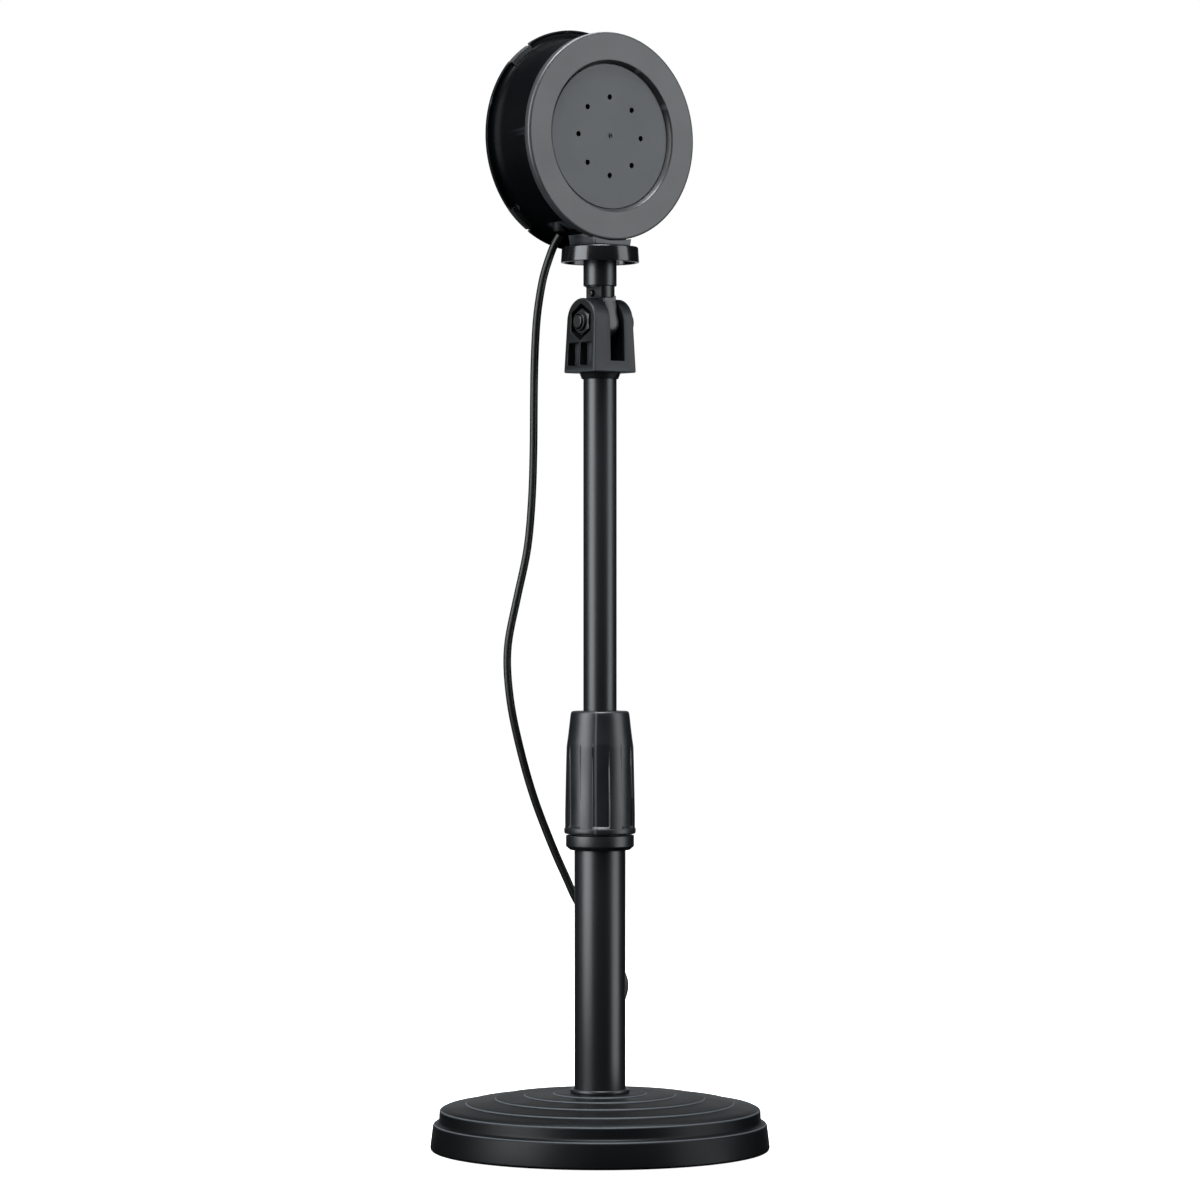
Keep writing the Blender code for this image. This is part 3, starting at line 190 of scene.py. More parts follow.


# %% [markdown]
# ## The finishes
# Everything is black, so the eye tells the parts apart by gloss and grain alone.  Moulded
# plastic has a fine even grain, powder coat a soft orange peel, and the knob is nearly
# polished.  A painted highlight, a lighter colour on the edges, follows how pointed the surface
# is, which suits cut shapes.  The base is one turned shape with known lips, so its painted
# highlight follows their distance from the axis instead.

# %% Moulded plastics and paint
def painted_lip_highlights(finish, radii, reach):
    """Narrow bands of painted highlight at the given distances from the stand's axis."""
    flat = finish.node("ShaderNodeVectorMath", {"operation": "MULTIPLY"}, {0: finish.place, 1: (1, 1, 0)})
    distance = finish.node("ShaderNodeVectorMath", {"operation": "LENGTH"}, {0: flat}, output="Value")
    lips = [finish.window(finish.maths("ABSOLUTE", distance - radius, 0.0), reach / 3, reach, 1.0, 0.0)
            for radius in radii]
    return sum(lips[1:], lips[0])


# SMUDGE is the size of the smudges; LIP is how far each painted lip highlight band reaches.
SMUDGE, LIP = 22 * MM, 0.34 * MM


def moulded(name, level, gloss, grain, depth, edge_highlight_strength=0.3, tint=0.03, shine=0.5, radii=None):
    finish = Finish(name)
    grains = finish.noise(grain, 3.0)
    smudges = finish.window(finish.noise(SMUDGE, 4.0), 0.42, 0.68)
    # Painted highlight: edges, meaning pointed places or the base's lips, get a lighter colour.
    edges = (painted_lip_highlights(finish, radii, LIP) if radii else painted_edge_highlight(finish)) * edge_highlight_strength
    base = finish.blend(smudges, grey(level, tint), grey(level * 1.25, tint))
    # Painted highlight: a lighter grey is blended in along the edges.
    colour = finish.blend(edges, base, grey(level + 0.08, tint))
    rough = smudges * 0.06 + (grains - 0.5) * 0.10 + edges * 0.10 + gloss
    return finish.surface(Base_Color=colour, Roughness=rough, Specular_IOR_Level=shine,
                          Normal=finish.bump(grains, depth))


SATIN_SHELL = moulded("satin_black_shell", 0.006, 0.36, 0.35 * MM, 0.010 * MM, 0.5, tint=0.08)
YOKE_SHELL = moulded("satin_black_yoke", 0.006, 0.40, 0.35 * MM, 0.012 * MM, 0.7, tint=0.10, shine=0.28)
DRUM_SHELL = moulded("fine_textured_black", 0.002, 0.34, 0.45 * MM, 0.030 * MM, 0.6,
                     tint=0.14, shine=0.04)
FACE_SATIN = moulded("satin_black_face", 0.026, 0.34, 0.30 * MM, 0.006 * MM, 0.8, tint=0.015)
DISC_SATIN = moulded("matt_black_disc", 0.036, 0.44, 0.22 * MM, 0.012 * MM, 0.0, tint=0.07)
KNOB_GLOSS = moulded("polished_black_knob", 0.004, 0.15, 0.60 * MM, 0.001 * MM, 0.25)
COVER_BLACK = moulded("matt_black_cover", 0.008, 0.48, 0.40 * MM, 0.030 * MM, 0.25)
INNER_BLACK = moulded("plain_black_moulding", 0.012, 0.45, 0.40 * MM, 0.010 * MM, 0.10)
print("mouldings:", SATIN_SHELL.name, YOKE_SHELL.name, KNOB_GLOSS.name)


def powder_coat(name, level, gloss):
    finish = Finish(name)
    peel = finish.noise(0.9 * MM, 2.0)
    specks = finish.noise(0.25 * MM, 1.0)
    rubbed = finish.window(finish.noise(30 * MM, 5.0, (1, 1, 0.25)), 0.45, 0.70)
    # Painted highlight: pointed edges are blended towards a lighter grey.
    edges = painted_edge_highlight(finish) * 0.4
    colour = finish.blend(rubbed, grey(level, 0.08), grey(level * 1.3, 0.08))
    colour = finish.blend(edges, colour, grey(0.06, 0.02))
    rough = rubbed * 0.05 + (specks - 0.5) * 0.08 + gloss
    height = peel * 0.7 + specks * 0.3
    return finish.surface(Base_Color=colour, Roughness=rough, Normal=finish.bump(height, 0.010 * MM))


TUBE_PAINT = powder_coat("black_powder_coat", 0.004, 0.35)
POST_PAINT = powder_coat("black_post_paint", 0.006, 0.32)


# %% [markdown]
# Metals, rubber, vinyl, cloth and paper each get their own small recipe.  Turned steel shows
# rings from the lathe, and the cord's vinyl shows a faint unevenness along its length.

# %% Metals and soft finishes
def plated(name, level, gloss, stretch, metallic=1.0):
    finish = Finish(name)
    lines = finish.noise(0.4 * MM, 2.0, stretch)
    stains = finish.window(finish.noise(5 * MM, 4.0), 0.45, 0.72)
    colour = finish.blend(stains, grey(level), grey(level * 0.72))
    rough = lines * 0.16 + stains * 0.14 + gloss
    return finish.surface(Base_Color=colour, Metallic=metallic, Roughness=rough,
                          Normal=finish.bump(lines, 0.004 * MM))


ZINC = plated("zinc_plated_steel", 0.56, 0.18, (1, 1, 6))
NICKEL = plated("nickel_plate", 0.72, 0.08, (1, 1, 1))
BLACK_STEEL = plated("blackened_steel", 0.030, 0.30, (6, 1, 1), 0.6)


def soft_black(name, level, gloss, grain, depth, sheen=0.0, shine=0.5):
    finish = Finish(name)
    grains = finish.noise(grain, 3.0)
    dust = finish.window(finish.noise(9 * MM, 5.0), 0.48, 0.75)
    colour = finish.blend(dust, grey(level, 0.02), grey(level * 1.7, 0.0))
    rough = grains * 0.12 + dust * 0.10 + gloss
    return finish.surface(Base_Color=colour, Roughness=rough, Sheen_Weight=sheen, Specular_IOR_Level=shine,
                          Normal=finish.bump(grains, depth))


CORD_VINYL = soft_black("black_vinyl_cord", 0.004, 0.32, 1.4 * MM, 0.020 * MM, shine=0.35)
RUBBER = soft_black("black_rubber", 0.004, 0.55, 0.5 * MM, 0.020 * MM, shine=0.2)
CONE_PAPER = soft_black("pressed_cone_paper", 0.030, 0.75, 0.6 * MM, 0.030 * MM, 0.2)


def woven(name):
    finish = Finish(name)
    waves = [finish.node("ShaderNodeTexWave", {"bands_direction": way}, {
        "Vector": finish.place, "Scale": 520.0, "Distortion": 0.4}) for way in ("X", "Z")]
    threads = finish.maths("MAXIMUM", waves[0], waves[1])
    colour = finish.blend(threads, grey(0.002), grey(0.012))
    return finish.surface(Base_Color=colour, Roughness=0.85 - threads * 0.1,
                          Normal=finish.bump(threads, 0.05 * MM))


def circuit_board(name):
    finish = Finish(name)
    tracks = finish.node("ShaderNodeTexBrick", {"offset": 0.5}, {
        "Vector": finish.place, "Scale": 260.0, "Mortar Size": 0.06}, "Fac")
    colour = finish.blend(tracks, (0.004, 0.060, 0.022, 1), (0.010, 0.120, 0.045, 1))
    return finish.surface(Base_Color=colour, Roughness=0.35 + tracks * 0.1,
                          Normal=finish.bump(tracks, 0.03 * MM))


DUST_CLOTH = woven("woven_dust_cloth")
BOARD_GREEN = circuit_board("green_board")
print("finishes made:", len(bpy.data.materials))


# %% [markdown]
# ## Turning and cutting
# Most parts here are turned or moulded round.  They could start as cylinders with loops cut
# in, but a profile drawn as a wire shows every step at once.  Its corners are rounded with a
# vertex bevel, and the wire is spun once round the axis.

# %% Shape helpers
def turned(profile, steps=192, closed=True):
    """Spin a profile of (radius, height, corner radius) about Z and close it."""
    shape = bmesh.new()
    corners = [shape.verts.new((point[0], 0, point[1])) for point in profile]
    for first, second in zip(corners, corners[1:]):
        shape.edges.new((first, second))
    if closed:
        shape.edges.new((corners[-1], corners[0]))
    for size in sorted({point[2] for point in profile if len(point) > 2}):
        chosen = [corner for corner, point in zip(corners, profile) if len(point) > 2 and point[2] == size]
        bmesh.ops.bevel(shape, geom=chosen, offset=size, offset_type="OFFSET", segments=4,
                        affect="VERTICES", profile=0.5, material=-1, clamp_overlap=True)
    bmesh.ops.spin(shape, geom=shape.verts[:] + shape.edges[:], axis=(0, 0, 1), cent=(0, 0, 0),
                   dvec=(0, 0, 0), angle=2 * math.pi, steps=steps, use_merge=True, use_duplicate=False)
    return welded(shape)


WELD = 0.004 * MM


def welded(shape):
    bmesh.ops.remove_doubles(shape, verts=shape.verts, dist=WELD)
    bmesh.ops.recalc_face_normals(shape, faces=shape.faces)
    return shape


def placed(shape, matrix):
    bmesh.ops.transform(shape, matrix=matrix, verts=shape.verts)
    return shape


def block(low, high):
    shape = bmesh.new()
    bmesh.ops.create_cube(shape, size=1.0)
    low, high = Vector(low), Vector(high)
    bmesh.ops.scale(shape, vec=high - low, verts=shape.verts)
    bmesh.ops.translate(shape, vec=(low + high) / 2, verts=shape.verts)
    return shape


def rod(radius, start, end, sides=64):
    """A round bar between two points, or a hexagonal one with six sides."""
    start, end = Vector(start), Vector(end)
    along = end - start
    place = Matrix.Translation((start + end) / 2) @ along.to_track_quat("Z", "Y").to_matrix().to_4x4()
    shape = bmesh.new()
    bmesh.ops.create_cone(shape, cap_ends=True, segments=sides, radius1=radius, radius2=radius,
                          depth=along.length, matrix=place)
    return shape


def drawn(outline, thickness, place):
    """Fill an outline and pull it out into a plate centred on its plane."""
    shape = bmesh.new()
    ring = [shape.verts.new((x, y, -thickness / 2)) for x, y in outline]
    face = shape.faces.new(ring)
    pulled = bmesh.ops.extrude_face_region(shape, geom=[face])
    bmesh.ops.translate(shape, vec=(0, 0, thickness),
                        verts=[v for v in pulled["geom"] if isinstance(v, bmesh.types.BMVert)])
    bmesh.ops.recalc_face_normals(shape, faces=shape.faces)
    return placed(shape, place)


def arc(radius, start, end, steps, centre=(0, 0)):
    angles = [math.radians(start + (end - start) * i / steps) for i in range(steps + 1)]
    return [(centre[0] + radius * math.cos(a), centre[1] + radius * math.sin(a)) for a in angles]


def joined(shape, other, way="DIFFERENCE"):
    """Cut, join or intersect two closed shapes and return the result as one bmesh."""
    holders = []
    for source in (shape, other):
        mesh = bpy.data.meshes.new("tool")
        source.to_mesh(mesh)
        source.free()
        holders.append(linked("tool", mesh))
    change = holders[0].modifiers.new("cut", "BOOLEAN")
    change.operation = way
    change.solver = "EXACT"
    change.object = holders[1]
    bpy.context.view_layer.update()
    result = bmesh.new()
    result.from_mesh(holders[0].evaluated_get(bpy.context.evaluated_depsgraph_get()).data)
    for holder in holders:
        mesh = holder.data
        bpy.data.objects.remove(holder)
        bpy.data.meshes.remove(mesh)
    return result


def cut(shape, *tools):
    for tool in tools:
        shape = joined(shape, tool)
    return shape


def softened(shape, size, segments=3, angle=32.0):
    """Round the sharp edges of a cut shape a little, as a mould does."""
    bmesh.ops.remove_doubles(shape, verts=shape.verts, dist=WELD)
    bmesh.ops.dissolve_limit(shape, angle_limit=math.radians(0.6), verts=shape.verts, edges=shape.edges)
    sharp = [e for e in shape.edges if len(e.link_faces) == 2 and e.calc_face_angle() > math.radians(angle)]
    bmesh.ops.bevel(shape, geom=sharp, offset=size, offset_type="OFFSET", segments=segments,
                    affect="EDGES", profile=0.5, material=-1, clamp_overlap=True)
    return welded(shape)


def finished(shape, name, body, slot, material, *nodes, sharp=32.0, flat_front=False):
    """Make the piece an object at the origin, give it its finish and body, and hide the nodes; slot is not
    used.
    """
    mesh = bpy.data.meshes.new(name)
    shape.to_mesh(mesh)
    shape.free()
    mesh.materials.append(material)
    mesh.shade_smooth()
    mesh.set_sharp_from_angle(angle=math.radians(sharp))
    for face in mesh.polygons:
        face.use_smooth = len(face.vertices) < 9 and not (flat_front and abs(face.normal.y) > 0.9999)
    piece = linked(name, mesh)
    if isinstance(body, str):
        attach(piece, body)
    if nodes:
        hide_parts(*nodes)
    print(name, len(mesh.polygons), "faces")
    return piece


def heights(node):
    low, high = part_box(node)
    return low[2], high[2]


# %% [markdown]
# ## The cord
# A thin two-core lead leaves the drum's underside, hangs behind the pole, and runs over the
# base to the table, where its spare length lies in a small tied coil behind the base.  One
# smooth path is cut in three, because the head, the tilting post and the pole move apart.

# %% The cord's path
CORD_DIAMETER = 3.5 * MM
CORD_POINTS = (
    (-0.0185, 0.0041, 0.3925), (-0.0198, 0.0070, 0.3875), (-0.0210, 0.0110, 0.3781),
    (-0.0217, 0.0134, 0.3695), (-0.0222, 0.0157, 0.3566), (-0.0223, 0.0171, 0.3394),
    (-0.0220, 0.0180, 0.3223), (-0.0209, 0.0198, 0.3008), (-0.0206, 0.0214, 0.2793),
    (-0.0213, 0.0238, 0.2578), (-0.0243, 0.0274, 0.2363), (-0.0266, 0.0310, 0.2148),
    (-0.0251, 0.0311, 0.1933), (-0.0205, 0.0300, 0.1718), (-0.0147, 0.0276, 0.1503),
    (-0.0075, 0.0236, 0.1289), (-0.0025, 0.0208, 0.1160), (0.0014, 0.0184, 0.1061),
    (0.0097, 0.0127, 0.0890), (0.0149, 0.0070, 0.0780), (0.0163, 0.0037, 0.0700),
    (0.0157, 0.0067, 0.0610), (0.0136, 0.0129, 0.0490), (0.0144, 0.0205, 0.0380),
    (0.0169, 0.0264, 0.0302), (0.0199, 0.0326, 0.0267), (0.0264, 0.0428, 0.0249),
    (0.0305, 0.0497, 0.0234), (0.0339, 0.0554, 0.0214), (0.0368, 0.0602, 0.0183),
    (0.0391, 0.0638, 0.0136), (0.0401, 0.0663, 0.0082), (0.0405, 0.0692, 0.0042),
    (0.0400, 0.0730, 0.0024), (0.0388, 0.0777, 0.0019), (0.0378, 0.0837, 0.0019),
    (0.0378, 0.0899, 0.0019), (0.0396, 0.0946, 0.0024),
)
TAIL_POINTS = (
    (0.0795, 0.0607, 0.0042), (0.0789, 0.0571, 0.0030), (0.0800, 0.0537, 0.0022),
    (0.0829, 0.0514, 0.0022), (0.0867, 0.0515, 0.0030), (0.0902, 0.0542, 0.0039),
    (0.0932, 0.0578, 0.0041),
)
COIL_CENTRE = AWAY * 0.109
COIL_RADII = (24.7 * MM, 20.9 * MM, 17.1 * MM, 13.3 * MM, 13.3 * MM, 17.1 * MM, 20.9 * MM, 24.7 * MM)
COIL_LOW, COIL_HIGH = 3.05 * MM, 6.60 * MM
JOG = (200.0, 245.0)
CLIMB = (140.0, 200.0)


def eased(value, low, high):
    share = min(1.0, max(0.0, (value - low) / (high - low)))
    return share * share * (3 - 2 * share)


def coil_points(step=9.0):
    """Walk round the coil: four turns inward on the table, then out again on top of them."""
    points = []
    for number in range(int(7.5 * 360 / step) + 1):
        angle = number * step
        turn, within = divmod(angle, 360.0)
        turn = min(int(turn), 7)
        following = COIL_RADII[min(turn + 1, 7)]
        radius = COIL_RADII[turn] + (following - COIL_RADII[turn]) * eased(within, *JOG)
        height = COIL_LOW + (COIL_HIGH - COIL_LOW) * eased(angle, 3 * 360 + CLIMB[0], 3 * 360 + CLIMB[1])
        turned_by = math.radians(angle)
        points.append(COIL_CENTRE - ACROSS * radius * math.cos(turned_by)
                      + AWAY * radius * math.sin(turned_by) + Vector((0, 0, height)))
    return points


FINE_STEPS, SMOOTHINGS, SPACING = 12, 6, 1.2 * MM


def smooth_path(points, spacing):
    """An even walk along a curve through the points."""
    fine = []
    count = len(points)
    for i in range(count - 1):
        before, here, there, after = (points[min(max(k, 0), count - 1)] for k in (i - 1, i, i + 1, i + 2))
        bend = 2 * before - 5 * here + 4 * there - after
        twist = 3 * here - before - 3 * there + after
        for j in range(FINE_STEPS):
            t = j / FINE_STEPS
            fine.append(0.5 * (2 * here + (there - before) * t + bend * t * t + twist * t ** 3))
    fine.append(points[-1])
    for _ in range(SMOOTHINGS):
        fine = [fine[0]] + [(a + 2 * b + c) / 4 for a, b, c in zip(fine, fine[1:], fine[2:])] + [fine[-1]]
    path = [fine[0]]
    left = spacing
    for start, end in zip(fine, fine[1:]):
        reach = (end - start).length
        while left <= reach:
            start = start + (end - start) * (left / reach)
            path.append(start)
            reach = (end - start).length
            left = spacing
        left -= reach
    return path + [fine[-1]] if left < spacing * 0.6 else path[:-1] + [fine[-1]]


coil = coil_points()
leaving = COIL_CENTRE + ACROSS * 24.9 * MM - AWAY * 6 * MM + Vector((0, 0, 6.5 * MM))
whole_path = smooth_path([Vector(p) for p in CORD_POINTS] + coil + [leaving]
                         + [Vector(p) for p in TAIL_POINTS], SPACING)


def path_length(path):
    return sum((b - a).length for a, b in zip(path, path[1:]))


print("cord length, metres:", round(path_length(whole_path), 3))


# %% [markdown]
# Each stretch is a tube swept along its part of the path.

# %% Sweep the three stretches
def swept(path, diameter, name):
    curve = bpy.data.curves.new(name, "CURVE")
    curve.dimensions = "3D"
    curve.bevel_depth = diameter / 2
    curve.bevel_resolution = 3
    curve.use_fill_caps = True
    spline = curve.splines.new("POLY")
    spline.points.add(len(path) - 1)
    for point, place in zip(spline.points, path):
        point.co = (*place, 1)
    drawing = linked(name, curve)
    bpy.context.view_layer.update()
    mesh = bpy.data.meshes.new_from_object(
        drawing.evaluated_get(bpy.context.evaluated_depsgraph_get()))
    bpy.data.objects.remove(drawing)
    shape = bmesh.new()
    shape.from_mesh(mesh)
    return welded(shape)


def cut_at(path, height):
    return next(i for i, point in enumerate(path) if point.z < height)


HEAD_SPLIT, POST_SPLIT = 0.3630, 0.3310
SLACK_END = Vector((0, 0.02, 0.10))      # the last stretch's end point, which nothing reads further
at_post = cut_at(whole_path, HEAD_SPLIT)
at_pole = cut_at(whole_path, POST_SPLIT)
STRETCHES = (
    ("cord_at_head", whole_path[:at_post + 1], "head", "post", "cord_head"),
    ("cord_at_post", whole_path[at_post:at_pole + 1], "post", "pole", "cord_neck"),
    ("cord_to_coil", whole_path[at_pole:], "pole", "stand", "cord_drop"),
)
cords = []
for name, path, above, below, node in STRETCHES:
    nodes = [node] if below != "stand" else [node, "cord_coil", "cord_tail"]
    cord = finished(swept(path, CORD_DIAMETER, name), name, None, "cord", CORD_VINYL, *nodes, sharp=60)
    finish_at = path[-1] if below != "stand" else SLACK_END
    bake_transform(cord)
    cords.append((cord, path))


# %% [markdown]
# The plug is a small jack: a tapered moulded grip with shallow ribs, and a plated pin with its
# grooved tip.  Both are turned lying down, so one matrix lays the turning on the table.

# %% Plug, pin and tie
def lying(shape, start, ahead):
    """Lay a shape that was made along -Z so that it points ahead from its start."""
    turn = (-ahead).to_track_quat("Z", "Y").to_matrix().to_4x4()
    return placed(shape, Matrix.Translation(start) @ turn)


plug_end = Vector(TAIL_POINTS[-1])
plug_way = plug_end - Vector(TAIL_POINTS[-2])
plug_way.z = 0
plug_way.normalize()
PLUG_RADIUS, PLUG_LENGTH = 4.0 * MM, 22.0 * MM
PIN_RADIUS, PIN_GROOVE, PIN_END = 1.75 * MM, 1.68 * MM, -36.3 * MM
grip = [(0, 0), (2.2 * MM, 0, 0.3 * MM), (3.1 * MM, -5.6 * MM, 0.6 * MM), (PLUG_RADIUS, -7.2 * MM, 0.6 * MM)]
for groove in range(5):
    top = -(9.2 + 2.2 * groove) * MM
    grip += [(PLUG_RADIUS, top, 0.12 * MM), (PLUG_RADIUS - 0.35 * MM, top - 0.3 * MM, 0.12 * MM),
             (PLUG_RADIUS - 0.35 * MM, top - 0.8 * MM, 0.12 * MM), (PLUG_RADIUS, top - 1.1 * MM, 0.12 * MM)]
grip += [(PLUG_RADIUS, -PLUG_LENGTH, 0.5 * MM), (0, -PLUG_LENGTH)]
plug_start = plug_end + plug_way * 0.3 * MM
plug = finished(lying(turned(grip, 72, closed=False), plug_start, plug_way),
                "jack_grip", "stand", "cord", INNER_BLACK, "plug_body")
pin_profile = [(0, -PLUG_LENGTH - 0.3 * MM), (2.6 * MM, -22.3 * MM, 0.1 * MM),
               (2.6 * MM, -23.1 * MM, 0.2 * MM), (PIN_RADIUS, -23.2 * MM)]
for band in (27.0, 30.4):
    pin_profile += [(PIN_RADIUS, -band * MM, 0.05 * MM), (PIN_GROOVE, -(band + 0.1) * MM),
                    (PIN_GROOVE, -(band + 0.7) * MM), (PIN_RADIUS, -(band + 0.8) * MM, 0.05 * MM)]
pin_profile += [(PIN_RADIUS, -33.3 * MM, 0.1 * MM), (1.2 * MM, -33.9 * MM, 0.1 * MM),
                (1.6 * MM, -34.7 * MM, 0.2 * MM), (0.5 * MM, PIN_END, 0.3 * MM), (0, PIN_END)]
pin = finished(lying(turned(pin_profile, 64, closed=False), plug_start, plug_way),
               "jack_pin", "stand", "steel", NICKEL, "plug_pin")

COIL_MIDDLE, TIE_HALF_WIDTH, TIE_HALF_HEIGHT, TIE_WALL = 19.0 * MM, 8.3 * MM, 3.95 * MM, 0.8 * MM
TIE_HEIGHT = 4.85 * MM


def rounded_frame(half_width, half_height, radius):
    points = []
    for x, y, start in ((1, 1, 0), (-1, 1, 90), (-1, -1, 180), (1, -1, 270)):
        points += arc(radius, start, start + 90, 6, (x * (half_width - radius), y * (half_height - radius)))
    return points


tie_place = (Matrix.Translation(COIL_CENTRE + AWAY * COIL_MIDDLE + Vector((0, 0, TIE_HEIGHT)))
             @ Matrix.Rotation(math.atan2(AWAY.y, AWAY.x), 4, "Z") @ Matrix.Rotation(math.pi / 2, 4, "X"))
outer = rounded_frame(TIE_HALF_WIDTH + TIE_WALL, TIE_HALF_HEIGHT + TIE_WALL, 2.0 * MM)
inner = rounded_frame(TIE_HALF_WIDTH, TIE_HALF_HEIGHT, 1.2 * MM)
tie = joined(drawn(outer, 6 * MM, tie_place), drawn(inner, 8 * MM, tie_place))
tie = finished(softened(tie, 0.15 * MM, 2), "coil_tie", "stand", "cord", CORD_VINYL, "cord_tie")

for number, (cord, path) in enumerate(cords):
    last = number == len(cords) - 1
    round(path_length(path), 3)


# %% [markdown]
# ## The weighted base
# The real base is a moulded cap over a steel weight.  Its low dome steps down in shallow rings,
# which catch the light as thin bright circles, and a plain band runs round the foot.  A painted
# highlight on each lip makes these circles brighter.

# %% Base cap and floor pad
BASE_RADIUS, STEP_RADIUS, BASE_WALL = 73.0 * MM, 69.0 * MM, 2.5 * MM
BASE_TOP, STEP_HEIGHT, BAND_HEIGHT = 24.8 * MM, 17.5 * MM, 11.3 * MM
RINGS = [19.8 * MM + 12.53 * MM * i for i in range(4)]
RING_DROP = 0.6 * MM
TUBE_RADIUS = 11.0 * MM
PLAY = 0.3 * MM


def dome(radius):
    share = max(0.0, (radius - RINGS[0]) / (STEP_RADIUS - RINGS[0]))
    return BASE_TOP - (BASE_TOP - STEP_HEIGHT - RING_DROP) * share ** 1.7


base = [(TUBE_RADIUS + PLAY, BASE_TOP, 0.3 * MM)]
for number, ring in enumerate(RINGS):
    following = (RINGS + [STEP_RADIUS])[number + 1]
    base.append((ring, dome(ring), 0.40 * MM))
    base.append((ring + 0.35 * MM, dome(ring) - RING_DROP, 0.2 * MM))
    for part in range(1, 5):
        between = ring + (following - ring) * part / 5
        base.append((between, dome(between) - RING_DROP * (1 - part / 5)))
base += [(STEP_RADIUS, STEP_HEIGHT, 0.8 * MM), (STEP_RADIUS + 0.2 * MM, 12.1 * MM, 1.4 * MM),
         (BASE_RADIUS - 1.3 * MM, BAND_HEIGHT + 0.5 * MM, 1.2 * MM), (BASE_RADIUS, 1.2 * MM, 0.5 * MM),
         (BASE_RADIUS - 0.6 * MM, 0.5 * MM, 0.2 * MM), (BASE_RADIUS - BASE_WALL, 0.5 * MM, 0.2 * MM),
         (BASE_RADIUS - 1.2 * MM - BASE_WALL, BAND_HEIGHT - BASE_WALL, 0.8 * MM),
         (STEP_RADIUS - BASE_WALL, STEP_HEIGHT - BASE_WALL - 1.2 * MM, 0.8 * MM),
         (RINGS[3], dome(RINGS[3]) - RING_DROP - BASE_WALL),
         (RINGS[1], dome(RINGS[1]) - RING_DROP - BASE_WALL),
         (TUBE_RADIUS + PLAY, BASE_TOP - RING_DROP - BASE_WALL)]
# The lips' radii carry painted highlight rings in the base's finish.
lips = [ring + 0.15 * MM for ring in RINGS] + [STEP_RADIUS - 0.4 * MM, BASE_RADIUS - 1.8 * MM]
BASE_SHELL = moulded("satin_black_base", 0.003, 0.42, 0.50 * MM, 0.014 * MM, 0.75,
                     tint=0.10, shine=0.14, radii=lips)
finished(turned(base, 256), "base_cap", "stand", "shell", BASE_SHELL, "base_shell")
PAD_OUTER, PAD_INNER, PAD_TOP = 66.0 * MM, 61.0 * MM, 1.2 * MM
finished(turned([(PAD_OUTER, PAD_TOP, 0.1 * MM), (PAD_OUTER, 0, 0.3 * MM),
                 (PAD_OUTER - 1.6 * MM, 0, 0.15 * MM), (PAD_OUTER - 1.9 * MM, 0.3 * MM, 0.15 * MM),
                 (PAD_INNER + 1.9 * MM, 0.3 * MM, 0.15 * MM), (PAD_INNER + 1.6 * MM, 0, 0.15 * MM),
                 (PAD_INNER, 0, 0.3 * MM), (PAD_INNER, PAD_TOP, 0.1 * MM)], 192),
         "floor_pad", "stand", "rubber", RUBBER, "foot_pad_ring")

# %% [markdown]
# ## The fixed tube, its seat ring and the ferrule
# Steel tube, powder coated.  A thin ring hides where it enters the base, and a plastic ferrule
# caps its top.  The top edges are hidden in the collar, so only the visible edges are rounded.

# %% Fixed tube and rings
tube_low, tube_top = heights("lower_tube")
tube_bore = TUBE_RADIUS - 1.2 * MM
finished(turned([(TUBE_RADIUS, tube_top, 0.3 * MM), (TUBE_RADIUS, tube_low, 0.2 * MM),
                 (tube_bore, tube_low, 0.2 * MM), (tube_bore, tube_top, 0.3 * MM)], 128),
         "fixed_tube", "stand", "tube_paint", TUBE_PAINT, "lower_tube")
seat_low, seat_top = heights("tube_foot_ring")
seat_radius, tube_hole = TUBE_RADIUS + 1.7 * MM, TUBE_RADIUS + PLAY
finished(turned([(tube_hole, seat_top, 0.1 * MM), (seat_radius, seat_top, 0.6 * MM),
                 (seat_radius, seat_low, 0.1 * MM), (tube_hole, seat_low, 0.1 * MM)], 128),
         "tube_seat_ring", "stand", "shell", SATIN_SHELL, "tube_foot_ring")
ferrule_low, ferrule_top = heights("ferrule_ring")
FERRULE_RADIUS = 14.65 * MM
finished(turned([(tube_hole, ferrule_top, 0.1 * MM), (FERRULE_RADIUS, ferrule_top, 0.35 * MM),
                 (FERRULE_RADIUS, ferrule_low + 1.6 * MM, 0.3 * MM),
                 (FERRULE_RADIUS - 1.8 * MM, ferrule_low, 0.3 * MM),
                 (tube_hole, ferrule_low, 0.2 * MM)], 160),
         "ferrule", "stand", "shell", SATIN_SHELL, "ferrule_ring")


# %% [markdown]
# ## The locking collar
# Seven raised pads give the fingers a grip.  The collar is turned smooth with many rows of
# faces, then the rows between the pads are pressed in to a smaller radius, with soft edges.

